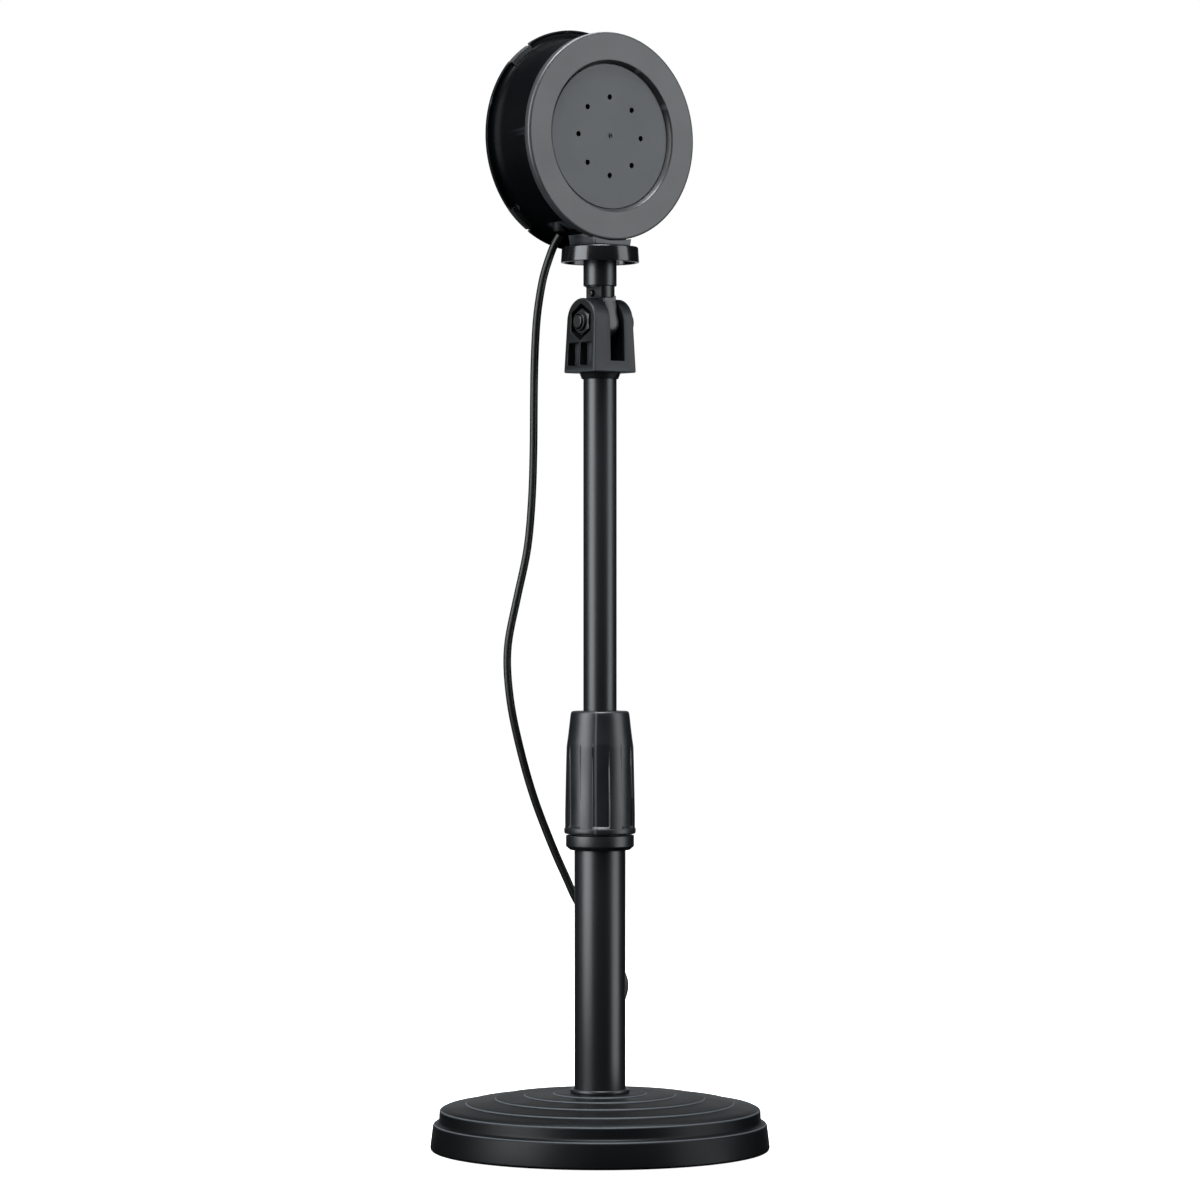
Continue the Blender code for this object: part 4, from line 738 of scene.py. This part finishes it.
# %% Collar
collar_low, collar_top = heights("lock_collar")
BAND_RADIUS, PAD_RADIUS, HOLLOW_RADIUS, MOUTH_RADIUS = 15.4 * MM, 15.05 * MM, 14.2 * MM, 12.7 * MM
band_top = collar_low + 2.6 * MM
taper_start = collar_low + 0.72 * (collar_top - collar_low)
bore = 7.47 * MM
profile = [(bore, collar_top, 0.2 * MM), (MOUTH_RADIUS - 0.3 * MM, collar_top, 0.9 * MM),
           (MOUTH_RADIUS + 0.1 * MM, collar_top - 2.4 * MM)]
ROWS = 90
waist = HOLLOW_RADIUS + 0.15 * MM
pad_low, pad_high = band_top + 0.2 * MM, collar_top - 3.0 * MM
for row in range(ROWS + 1):
    height = pad_high + (pad_low - pad_high) * row / ROWS
    if height > taper_start:
        share = (height - taper_start) / (collar_top - 1.5 * MM - taper_start)
        radius = waist - (waist - MOUTH_RADIUS) * share ** 0.85
    else:
        share = (taper_start - height) / (taper_start - band_top - 6 * MM)
        radius = waist + (PAD_RADIUS - HOLLOW_RADIUS - 0.15 * MM) * min(1.0, share) ** 0.8
    profile.append((radius, height))
profile += [(PAD_RADIUS, band_top), (BAND_RADIUS, band_top - 0.1 * MM, 0.3 * MM),
            (BAND_RADIUS, collar_low, 0.8 * MM), (HOLLOW_RADIUS - 1.3 * MM, collar_low, 0.2 * MM),
            (HOLLOW_RADIUS - 1.3 * MM, collar_low + 17 * MM),
            (bore + 2.2 * MM, collar_top - 7.6 * MM), (bore, collar_top - 7.0 * MM)]
collar = turned(profile, 420)
PADS, HALF_HOLLOW, FIRST_PAD, FADE = 7, 14.2, -100.0, 0.45
for vertex in collar.verts:
    radius = math.hypot(vertex.co.x, vertex.co.y)
    if radius > HOLLOW_RADIUS - 0.4 * MM and pad_low < vertex.co.z < pad_high:
        angle = (math.degrees(math.atan2(vertex.co.y, vertex.co.x)) - FIRST_PAD) % (360 / PADS)
        beside = abs(angle - 180 / PADS)
        pressed = 1 - eased(beside, HALF_HOLLOW - FADE, HALF_HOLLOW + FADE)
        pressed *= eased(vertex.co.z, pad_low + 0.2 * MM, pad_low + 0.6 * MM)
        floor_radius = min(radius, HOLLOW_RADIUS)
        vertex.co.xy *= (radius + (floor_radius - radius) * pressed) / radius
finished(collar, "locking_collar", "collar", "shell", SATIN_SHELL, "lock_collar", sharp=50)

# %% [markdown]
# ## The sliding pole
# The thin tube slides in the collar.  A cylinder with a solidify would do, but a turned wall
# gets its rounded mouth in the same step.

# %% Sliding pole
pole_low, pole_top = heights("upper_tube")
POLE_RADIUS = 7.17 * MM
pole_bore = POLE_RADIUS - 1 * MM
finished(turned([(POLE_RADIUS, pole_top, 0.2 * MM), (POLE_RADIUS, pole_low, 0.2 * MM),
                 (pole_bore, pole_low, 0.2 * MM), (pole_bore, pole_top, 0.2 * MM)], 112),
         "sliding_pole", "pole", "tube_paint", TUBE_PAINT, "upper_tube")

# %% [markdown]
# ## The yoke
# A solid moulding with an arched top, a slot for the tilting tongue, a hexagonal pocket for the
# nut and two lightening pockets.  Extruding every wall by hand is slow to change.  Its side and
# front outlines are crossed instead, and each opening is one cut.

# %% Yoke
YOKE_LOW = pole_top + PLAY
BOLT_HEIGHT = YOKE_LOW + 21.7 * MM
ARCH = 10.2 * MM
HALF_LOW, HALF_TOP, HALF_DEPTH = 11.45 * MM, 10.35 * MM, 10.85 * MM
SLOT_LEFT, SLOT_RIGHT = -2.3 * MM, 5.2 * MM
BOLT_BORE = 3.3 * MM
TO_SIDE = Matrix(((0, 0, 1, 0), (1, 0, 0, 0), (0, 1, 0, 0), (0, 0, 0, 1)))
TO_FRONT = Matrix.Rotation(math.pi / 2, 4, "X")
side = [(-HALF_DEPTH, YOKE_LOW), (HALF_DEPTH, YOKE_LOW)] + arc(ARCH, 0, 180, 48, (0, BOLT_HEIGHT))
front = [(-HALF_LOW, YOKE_LOW), (HALF_LOW, YOKE_LOW), (HALF_TOP, BOLT_HEIGHT),
         (HALF_TOP, BOLT_HEIGHT + 15 * MM), (-HALF_TOP, BOLT_HEIGHT + 15 * MM), (-HALF_TOP, BOLT_HEIGHT)]
yoke = joined(drawn(side, 30 * MM, TO_SIDE), drawn(front, 40 * MM, TO_FRONT), "INTERSECT")
yoke = softened(yoke, 0.7 * MM, 4, 25)
lip_low, plug_low, plug_radius = YOKE_LOW - 2.6 * MM, YOKE_LOW - 14 * MM, POLE_RADIUS - 1.3 * MM
lip = turned([(0, YOKE_LOW + 1 * MM), (POLE_RADIUS + 1.7 * MM, YOKE_LOW + 1 * MM),
              (POLE_RADIUS + 1.7 * MM, YOKE_LOW), (POLE_RADIUS + 0.7 * MM, lip_low, 0.25 * MM),
              (POLE_RADIUS + PLAY, lip_low, 0.1 * MM), (POLE_RADIUS + PLAY, YOKE_LOW),
              (plug_radius, YOKE_LOW), (plug_radius, plug_low, 0.4 * MM), (0, plug_low)], 112, closed=False)
yoke = joined(yoke, lip, "UNION")
POCKET_FLATS, POCKET_DEPTH, REACH = 13.7 * MM, 5 * MM, 20 * MM
pocket_top = BOLT_HEIGHT - POCKET_FLATS / 2 - 2 * MM
seat = HALF_TOP - 0.4 * MM
tools = [block((SLOT_LEFT, -REACH, YOKE_LOW + 4.9 * MM), (SLOT_RIGHT, REACH, BOLT_HEIGHT + REACH)),
         rod(BOLT_BORE, (-REACH, 0, BOLT_HEIGHT), (REACH, 0, BOLT_HEIGHT)),
         rod(6.8 * MM, (seat, 0, BOLT_HEIGHT), (REACH, 0, BOLT_HEIGHT), 96),
         rod(POCKET_FLATS / math.sqrt(3), (-HALF_TOP + POCKET_DEPTH, 0, BOLT_HEIGHT),
             (-REACH, 0, BOLT_HEIGHT), 6)]
for near, far in ((-HALF_DEPTH + 2.6 * MM, -0.3 * MM), (0.9 * MM, HALF_DEPTH - 2.6 * MM)):
    tools.append(block((-REACH, near, YOKE_LOW + 3 * MM), (-HALF_LOW + 4.5 * MM, far, pocket_top)))
yoke = softened(cut(yoke, *tools), 0.35 * MM, 3, 38)
finished(yoke, "pole_yoke", "pole", "shell", YOKE_SHELL, "yoke", sharp=35, flat_front=True)

# %% [markdown]
# ## The tilt bolt
# A blackened cap bolt with a hexagonal socket passes through both cheeks into a crowned nut.
# The round parts are turned on Z and laid on their side by one matrix.  The nut is a hexagonal
# rod crossed with a turned chamfer, because that is how its corners are cut on a lathe.

# %% Bolt, washer and nut
TO_RIGHT = Matrix.Rotation(math.pi / 2, 4, "Y")


def across(shape):
    """Turn a shape made on Z to point along +X at the bolt's height."""
    return placed(shape, Matrix.Translation((0, 0, BOLT_HEIGHT)) @ TO_RIGHT)


BOLT_RADIUS, BOLT_HEAD, SOCKET, WASHER = 2.85 * MM, 5.3 * MM, 2.3 * MM, 6.2 * MM
head_top, head_base = seat + 4.6 * MM, seat + 1.9 * MM
shank_end = -HALF_TOP + POCKET_DEPTH - 7.1 * MM
bolt = across(turned([(0, head_top), (BOLT_HEAD, head_top, 0.5 * MM), (BOLT_HEAD, head_base, 0.2 * MM),
                      (BOLT_RADIUS, head_base, 0.2 * MM), (BOLT_RADIUS, shank_end, 0.5 * MM),
                      (0, shank_end)], 96, closed=False))
bolt = cut(bolt, rod(SOCKET, (seat + 2.2 * MM, 0, BOLT_HEIGHT), (seat + 6 * MM, 0, BOLT_HEIGHT), 6))
finished(softened(bolt, 0.12 * MM, 2, 50), "hinge_bolt", "pole", "steel", BLACK_STEEL, "tilt_bolt")
washer = turned([(WASHER, seat + 1.6 * MM, 0.25 * MM), (WASHER, seat + 0.3 * MM, 0.25 * MM),
                 (BOLT_BORE, seat + 0.3 * MM, 0.1 * MM), (BOLT_BORE, seat + 1.6 * MM, 0.25 * MM)], 96)
finished(across(washer), "hinge_washer", "pole", "steel", BLACK_STEEL, "tilt_washer")
NUT_CORNER, NUT_THICKNESS = 5.77 * MM, 4.6 * MM
nut_back = -HALF_TOP + POCKET_DEPTH - PLAY
nut_front = nut_back - NUT_THICKNESS
nut = rod(NUT_CORNER, (nut_back, 0, BOLT_HEIGHT), (nut_front, 0, BOLT_HEIGHT), 6)
crown = across(turned([(3.9 * MM, nut_back - 3 * MM), (3.9 * MM, nut_back - 6 * MM, 0.3 * MM),
                       (3.4 * MM, nut_back - 6 * MM), (3.4 * MM, nut_back - 3 * MM)], 64))
chamfer = across(turned([(0, nut_back), (4.6 * MM, nut_back), (5.9 * MM, nut_back - 0.7 * MM),
                         (5.9 * MM, nut_back - 4.0 * MM), (4.7 * MM, nut_front), (0, nut_front)],
                        96, closed=False))
nut = joined(nut, chamfer, "INTERSECT")
nut = cut(joined(nut, crown, "UNION"), rod(BOLT_BORE, (0, 0, BOLT_HEIGHT), (-REACH, 0, BOLT_HEIGHT)))
finished(softened(nut, 0.12 * MM, 2, 30), "hinge_nut", "pole", "steel", BLACK_STEEL, "tilt_nut")

# %% [markdown]
# ## The tilting post
# A round shank with a flat tongue at its foot.  The neck above the tongue is cut away on one
# side, where the end of a cross pin shows.  The tongue is a drawn plate and the shank is turned,
# and joining the two first lets one bevel soften the edge where they meet.

# %% Post and pin
neck_low = BOLT_HEIGHT + ARCH + PLAY
neck_top = neck_low + 5 * MM
knob_low, knob_top = heights("lock_knob")
SLOT_MIDDLE = (SLOT_LEFT + SLOT_RIGHT) / 2
to_tongue = Matrix.Translation((SLOT_MIDDLE, 0, 0)) @ TO_SIDE
TONGUE_EYE, TONGUE_HALF, TONGUE_THICKNESS = 8 * MM, 5.3 * MM, 6.6 * MM
tongue_outline = arc(TONGUE_EYE, -180, 0, 40, (0, BOLT_HEIGHT))
tongue_outline += [(TONGUE_HALF, neck_low - 1.3 * MM), (TONGUE_HALF, neck_low + 1 * MM),
                   (-TONGUE_HALF, neck_low + 1 * MM), (-TONGUE_HALF, neck_low - 1.3 * MM)]
tongue = softened(drawn(tongue_outline, TONGUE_THICKNESS, to_tongue), 0.4 * MM, 3, 40)
KNOB_ROOF, STUD_RADIUS, NECK_RADIUS = 3.8 * MM, 3 * MM, 6.3 * MM
shank_top = knob_top - KNOB_ROOF - PLAY
stud_top = heights("tilt_post")[1]
shank = turned([(0, stud_top), (STUD_RADIUS, stud_top, 0.4 * MM), (STUD_RADIUS, shank_top),
                (POLE_RADIUS, shank_top, 0.2 * MM), (POLE_RADIUS, neck_top, 0.45 * MM),
                (NECK_RADIUS, neck_top), (NECK_RADIUS, neck_low, 0.4 * MM), (0, neck_low)],
               112, closed=False)
post = joined(tongue, shank, "UNION")
neck_flat = -3.4 * MM
pin_at = (0.8 * MM, neck_low + 2 * MM)
post = cut(post, rod(BOLT_BORE, (-10 * MM, 0, BOLT_HEIGHT), (12 * MM, 0, BOLT_HEIGHT)),
           block((-10 * MM, -10 * MM, neck_low - 1 * MM), (neck_flat, 10 * MM, neck_top - 0.3 * MM)),
           rod(1.6 * MM, (neck_flat - 5 * MM, *pin_at), (neck_flat + 5 * MM, *pin_at), 40))
finished(softened(post, 0.15 * MM, 2, 40), "tilting_post", "post", "tube_paint", POST_PAINT, "tilt_post")
pin_inner, pin_outer = neck_flat + 4.6 * MM, neck_flat - 1.4 * MM
cross_pin = turned([(0, pin_inner), (1.3 * MM, pin_inner, 0.2 * MM), (1.3 * MM, pin_outer, 0.5 * MM),
                    (0, pin_outer)], 48, closed=False)
finished(placed(cross_pin, Matrix.Translation((0, *pin_at)) @ TO_RIGHT), "post_pin", "post", "steel",
         BLACK_STEEL, "neck_pin")

# %% [markdown]
# ## The locking knob
# A shallow polished cap with a hollow underside.  Its only ornament is the rounded rim, so it is
# turned from one closed profile, and the rim's two radii are corner sizes in that profile.

# %% Knob
KNOB_RADIUS, STUD_BORE = 16.9 * MM, 3.3 * MM
cavity = knob_top - KNOB_ROOF
finished(turned([(STUD_BORE, knob_top, 0.2 * MM), (KNOB_RADIUS - 0.5 * MM, knob_top, 0.7 * MM),
                 (KNOB_RADIUS, knob_low, 0.45 * MM), (KNOB_RADIUS - 1.5 * MM, knob_low, 0.3 * MM),
                 (KNOB_RADIUS - 1.7 * MM, cavity, 0.5 * MM), (STUD_BORE, cavity, 0.2 * MM)], 192),
         "locking_knob", "knob", "knob", KNOB_GLOSS, "lock_knob")


# %% [markdown]
# ## The speaker head
# The head's parts could be spun about a level axis, but a turning is easier to read on Z.  So
# they are turned with +Z towards the listener, and one matrix stands them upright on the post.

# %% Drum with its notched flange
HEAD_HEIGHT = (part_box("drum_shell")[0][2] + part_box("drum_shell")[1][2]) / 2
UPRIGHT = Matrix.Translation((0, 0, HEAD_HEIGHT)) @ Matrix.Rotation(math.pi / 2, 4, "X")
DRUM, DRUM_WALL, FACE, FLANGE = 43.0 * MM, 2.0 * MM, 44.5 * MM, 47.7 * MM
FACE_FRONT, RING_BACK, FLANGE_BACK = 9.0 * MM, 5.7 * MM, -18.3 * MM
NOTCHES = (50, 130, 230, 310)
NOTCH_SPREAD = 16.0
NOTCH_RADIUS = 44.1 * MM
STRAIGHT_END, FLARE = -12 * MM, 2.8 * MM
web_front, lip_front = FLANGE_BACK + 0.9 * MM, FLANGE_BACK + 1.4 * MM
drum_bore = DRUM - DRUM_WALL


def upright(shape):
    return placed(shape, UPRIGHT)


def sector(inner, outer, middle, spread, low, high):
    """A plate between two radii and two heights, as wide as the spread in degrees."""
    outline = arc(inner, middle + spread / 2, middle - spread / 2, 12)
    outline += arc(outer, middle - spread / 2, middle + spread / 2, 12)
    return drawn(outline, high - low, Matrix.Translation((0, 0, (low + high) / 2)))


drum = [(DRUM, RING_BACK - PLAY, 0.2 * MM), (DRUM, STRAIGHT_END)]
for part in range(1, 13):
    lean = part / 12 * math.pi / 2
    drum.append((DRUM + FLARE * (1 - math.cos(lean)),
                 STRAIGHT_END + (web_front - STRAIGHT_END) * math.sin(lean)))
drum += [(FLANGE - 1.1 * MM, web_front, 0.2 * MM), (FLANGE - 0.9 * MM, lip_front, 0.2 * MM),
         (FLANGE, lip_front, 0.3 * MM), (FLANGE, FLANGE_BACK, 0.3 * MM),
         (drum_bore, FLANGE_BACK, 0.2 * MM), (drum_bore, RING_BACK - PLAY, 0.2 * MM)]
drum = turned(drum, 256)
for notch in NOTCHES:
    drum = joined(drum, sector(NOTCH_RADIUS, FLANGE + 3 * MM, notch, NOTCH_SPREAD, -22.3 * MM, -14.3 * MM))
drum = upright(drum)
CORD_EXIT = CORD_POINTS[0][:2]
inside = HEAD_HEIGHT - 20 * MM
drum = cut(drum, rod(STUD_BORE, (0, 0, knob_top), (0, 0, inside)),
           rod(3.1 * MM, (*CORD_EXIT, knob_top), (*CORD_EXIT, inside)))
finished(welded(drum), "head_drum", "head", "housing", DRUM_SHELL, "drum_shell", sharp=30, flat_front=True)

# %% [markdown]
# ## The front ring
# The ring closes the drum with a spigot and frames the sound disc in a shallow recess.  Its foot
# is notched to clear the wedge below.  One turning gives every step, and one cut the notch.

# %% Front ring
SPIGOT = drum_bore - PLAY
RECESS, RECESS_WALL, RECESS_FLOOR = 32.4 * MM, 31.3 * MM, FACE_FRONT - 2.1 * MM
ring = turned([(FACE, FACE_FRONT, 1.1 * MM), (FACE, RING_BACK, 0.25 * MM), (SPIGOT, RING_BACK, 0.1 * MM),
               (SPIGOT, RING_BACK - 4.5 * MM, 0.3 * MM), (SPIGOT - 2.5 * MM, RING_BACK - 4.5 * MM, 0.3 * MM),
               (SPIGOT - 2.5 * MM, RING_BACK, 0.1 * MM), (RECESS_WALL, RING_BACK, 0.1 * MM),
               (RECESS_WALL, RECESS_FLOOR), (RECESS, FACE_FRONT, 0.5 * MM)], 288)
ring = upright(ring)
clearance = block((-7.2 * MM, -RING_BACK - 0.3 * MM, HEAD_HEIGHT - DRUM - 1 * MM),
                  (7.2 * MM, -RING_BACK + 6 * MM, HEAD_HEIGHT - RECESS - 2 * MM))
finished(welded(joined(ring, clearance)), "face_ring", "head", "housing", FACE_SATIN, "front_ring",
         sharp=30, flat_front=True)

# %% [markdown]
# ## The sound disc and its cloth
# The disc in the face has eight drilled sound holes on a circle and a small moulding mark in
# the middle.  Dark dots would do from afar, but the holes are cut, so the cloth shows in them.

# %% Sound disc and dust cloth
DISC_BACK = RING_BACK - 1.7 * MM
HOLE, HOLE_CIRCLE = 1.2 * MM, 16.8 * MM
disc_radius, disc_rim = RECESS_WALL - PLAY, RECESS_WALL + 3.5 * MM
disc = turned([(0, RECESS_FLOOR), (disc_radius, RECESS_FLOOR, 0.2 * MM), (disc_radius, RING_BACK - PLAY),
               (disc_rim, RING_BACK - PLAY, 0.1 * MM), (disc_rim, DISC_BACK, 0.1 * MM),
               (0, DISC_BACK)], 192, closed=False)
holes = [rod(HOLE, (x, y, DISC_BACK - 1 * MM), (x, y, RECESS_FLOOR + 1 * MM), 32)
         for x, y in arc(HOLE_CIRCLE, 0, 315, 7)]
holes.append(rod(1.4 * MM, (0, 0, RECESS_FLOOR - 0.35 * MM), (0, 0, RECESS_FLOOR + 1 * MM), 32))
holes.append(rod(0.7 * MM, (0, 0, RECESS_FLOOR - 0.9 * MM), (0, 0, RECESS_FLOOR + 1 * MM), 32))
SCREW_HEAD = 1.9 * MM
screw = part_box("driver_screw_1")[0]
SCREW_CIRCLE = math.hypot(screw[0] + SCREW_HEAD, screw[2] + SCREW_HEAD - HEAD_HEIGHT)
for x, y in arc(SCREW_CIRCLE, 45, 315, 3):
    holes.append(rod(1.3 * MM, (x, y, DISC_BACK - 1 * MM), (x, y, DISC_BACK + 1.7 * MM), 24))
disc = cut(disc, *holes)
finished(upright(softened(disc, 0.12 * MM, 2, 50)), "sound_disc", "head", "housing", DISC_SATIN,
         "grille_disc", sharp=30, flat_front=True)
cloth_radius, cloth_front, cloth_back = SCREW_CIRCLE - 2.2 * MM, DISC_BACK - PLAY, DISC_BACK - 0.7 * MM
finished(upright(turned([(0, cloth_front), (cloth_radius, cloth_front, 0.1 * MM),
                         (cloth_radius, cloth_back, 0.1 * MM), (0, cloth_back)], 96, closed=False)),
         "dust_cloth", "head", "mesh", DUST_CLOTH, "dust_mesh")

# %% [markdown]
# ## The back lid
# The back closes with a flat lid.  Four hooks on it snap into the flange's notches.  They share
# the notches' own outline, a little smaller all round, so they can't miss them.

# %% Back lid
lid_front = FLANGE_BACK - PLAY
lid_back = lid_front - 1.8 * MM
lid_rim = FLANGE - 2.1 * MM
lid = turned([(0, lid_front), (lid_rim, lid_front, 0.2 * MM), (lid_rim, lid_back, 0.6 * MM),
              (lid_rim - 5.0 * MM, lid_back, 0.2 * MM), (lid_rim - 5.3 * MM, lid_back + 0.4 * MM, 0.2 * MM),
              (lid_rim - 6.3 * MM, lid_back + 0.4 * MM, 0.2 * MM), (lid_rim - 6.6 * MM, lid_back, 0.2 * MM),
              (0, lid_back)], 224, closed=False)
hook_spread = NOTCH_SPREAD - math.degrees(2 * PLAY / NOTCH_RADIUS)
for notch in NOTCHES:
    hook = sector(NOTCH_RADIUS + PLAY, FLANGE - 0.9 * MM, notch, hook_spread, lid_back + 0.7 * MM,
                  lip_front + PLAY)
    lid = joined(lid, hook, "UNION")
finished(upright(softened(lid, 0.12 * MM, 2, 50)), "back_lid", "head", "housing", COVER_BLACK,
         "rear_cover", sharp=30, flat_front=True)

# %% [markdown]
# ## The head's foot
# The foot is a wedge shaped to the drum above and flat on the knob below.  Bending its top to
# match would only come close, so a rod as wide as the drum cuts the hollow it sits in.

# %% Foot
foot_low, foot_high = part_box("mount_foot")
HALF_FOOT_LOW, HALF_FOOT_TOP = 9.55 * MM, 11.0 * MM
foot_top = foot_low[2] + 7.5 * MM
foot_outline = [(-HALF_FOOT_LOW, foot_low[2]), (HALF_FOOT_LOW, foot_low[2]),
                (HALF_FOOT_TOP, foot_top), (-HALF_FOOT_TOP, foot_top)]
foot_place = Matrix.Translation((0, (foot_low[1] + foot_high[1]) / 2, 0)) @ TO_FRONT
foot = softened(drawn(foot_outline, foot_high[1] - foot_low[1], foot_place), 0.6 * MM, 4, 40)
foot = cut(foot, rod(DRUM + PLAY, (0, -30 * MM, HEAD_HEIGHT), (0, 30 * MM, HEAD_HEIGHT), 360),
           rod(FACE + PLAY, (0, -30 * MM, HEAD_HEIGHT), (0, -RING_BACK + 0.3 * MM, HEAD_HEIGHT), 360),
           rod(STUD_BORE, (0, 0, knob_low), (0, 0, HEAD_HEIGHT)))
finished(softened(foot, 0.1 * MM, 2, 50), "head_foot", "head", "shell", SATIN_SHELL, "mount_foot")

# %% [markdown]
# ## The cord relief
# A tapered rubber sleeve holds the cord where it leaves the drum.  It is turned at the axis and
# then moved to the cord's exit, which keeps its profile simple.

# %% Cord relief
relief_low, relief_high = heights("cord_grommet")
relief = turned([(0, relief_high), (2.8 * MM, relief_high, 0.3 * MM),
                 (2.8 * MM, relief_low + 1.6 * MM, 0.3 * MM),
                 (2.5 * MM, relief_low, 0.4 * MM), (0, relief_low)], 48, closed=False)
bmesh.ops.translate(relief, vec=(*CORD_EXIT, 0), verts=relief.verts)
finished(relief, "cord_relief", "head", "rubber", RUBBER, "cord_grommet")

# %% [markdown]
# ## The parts inside
# The weight, the driver and the amplifier board could be made again too.  They are hidden and
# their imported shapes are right, so they only take a better finish.

# %% Finishes for the inside
INSIDE = {
    ZINC: ("base_weight", "bolt_washer", "tube_bolt", "pan_washer", "pan_nut", "speaker_magnet",
           "speaker_chassis", "driver_screw_1", "driver_screw_2", "driver_screw_3", "driver_screw_4"),
    TUBE_PAINT: ("base_plate",),
    INNER_BLACK: ("tube_plug", "clamp_bush", "pole_end_bush", "amp_chip", "amp_capacitor"),
    RUBBER: ("cone_surround",),
    CONE_PAPER: ("speaker_cone", "dust_cap"),
    BOARD_GREEN: ("amp_board",),
}
for material, nodes in INSIDE.items():
    for node in nodes:
        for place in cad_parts[node].material_slots:
            place.material = material
print("finishes given to", sum(len(nodes) for nodes in INSIDE.values()), "inner parts")

# %% [markdown]
# ## The floor
# A lit floor would grey the black parts from below.  This one is plain and pale and lights
# itself, and is left out of reflections, so the black parts keep their contrast.

# %% Floor
floor_shape = bmesh.new()
bmesh.ops.create_grid(floor_shape, x_segments=1, y_segments=1, size=6.0)
bmesh.ops.translate(floor_shape, vec=(0, 0, -0.4 * MM), verts=floor_shape.verts)
floor_mesh = bpy.data.meshes.new("pale_floor")
floor_shape.to_mesh(floor_mesh)
floor_shape.free()
floor = linked("pale_floor", floor_mesh)
pale = Finish("pale_floor")
floor_mesh.materials.append(pale.surface(Base_Color=grey(0.8), Roughness=0.9, Emission_Color=grey(1.0),
                                         Emission_Strength=1.0))
floor.visible_glossy = False
floor.visible_diffuse = False

# %% [markdown]
# ## The lights
# Black plastic shows only what it reflects, so the lamps draw the shapes.  Two tall soft boxes
# stand left and right, and every upright tube shows two long highlights with a dark band
# between them.  A lamp above and two behind pick out the tops.  All are a slightly cool white.

# %% Lights
DIM_ROOM = (0.008, 0.009, 0.010, 1)
world = bpy.data.worlds.new("white_room")
bpy.context.scene.world = world
world.use_nodes = True
room = world.node_tree
room.nodes.clear()
seen = room.nodes.new("ShaderNodeLightPath")
shown = room.nodes.new("ShaderNodeBackground")
lit = room.nodes.new("ShaderNodeBackground")
shown.inputs["Color"].default_value = (1, 1, 1, 1)
lit.inputs["Color"].default_value = DIM_ROOM
pick = room.nodes.new("ShaderNodeMixShader")
result = room.nodes.new("ShaderNodeOutputWorld")
room.links.new(seen.outputs["Is Camera Ray"], pick.inputs[0])
room.links.new(lit.outputs[0], pick.inputs[1])
room.links.new(shown.outputs[0], pick.inputs[2])
room.links.new(pick.outputs[0], result.inputs["Surface"])


COOL_WHITE = (0.93, 0.97, 1.0)


def soft_box(name, bearing, distance, height, aim, width, tall, power):
    """A rectangular lamp at a bearing from the camera's line (positive to the right)."""
    lamp_data = bpy.data.lights.new(name, "AREA")
    lamp_data.shape = "RECTANGLE"
    lamp_data.size = width
    lamp_data.size_y = tall
    lamp_data.energy = power
    lamp_data.color = COOL_WHITE
    lamp = linked(name, lamp_data)
    lamp.visible_camera = False
    angle = math.radians(bearing)
    lamp.location = (ACROSS * math.sin(angle) - AWAY * math.cos(angle)) * distance + Vector((0, 0, height))
    lamp.rotation_euler = (Vector((0, 0, aim)) - lamp.location).to_track_quat("-Z", "Y").to_euler()


soft_box("left_box", -60, 1.5, 0.88, 0.88, 1.10, 1.90, 50)
soft_box("right_box", 74, 1.5, 0.50, 0.50, 0.90, 2.1, 24)
soft_box("low_back_box", 180, 1.5, 0.20, 0.20, 1.2, 0.7, 1.5)
soft_box("high_back_box", 175, 0.80, 2.1, 0.25, 0.9, 0.6, 26)
soft_box("top_box", 8, 0.50, 2.0, 0.1, 0.8, 0.6, 56)
bpy.context.scene.view_settings.view_transform = "Standard"
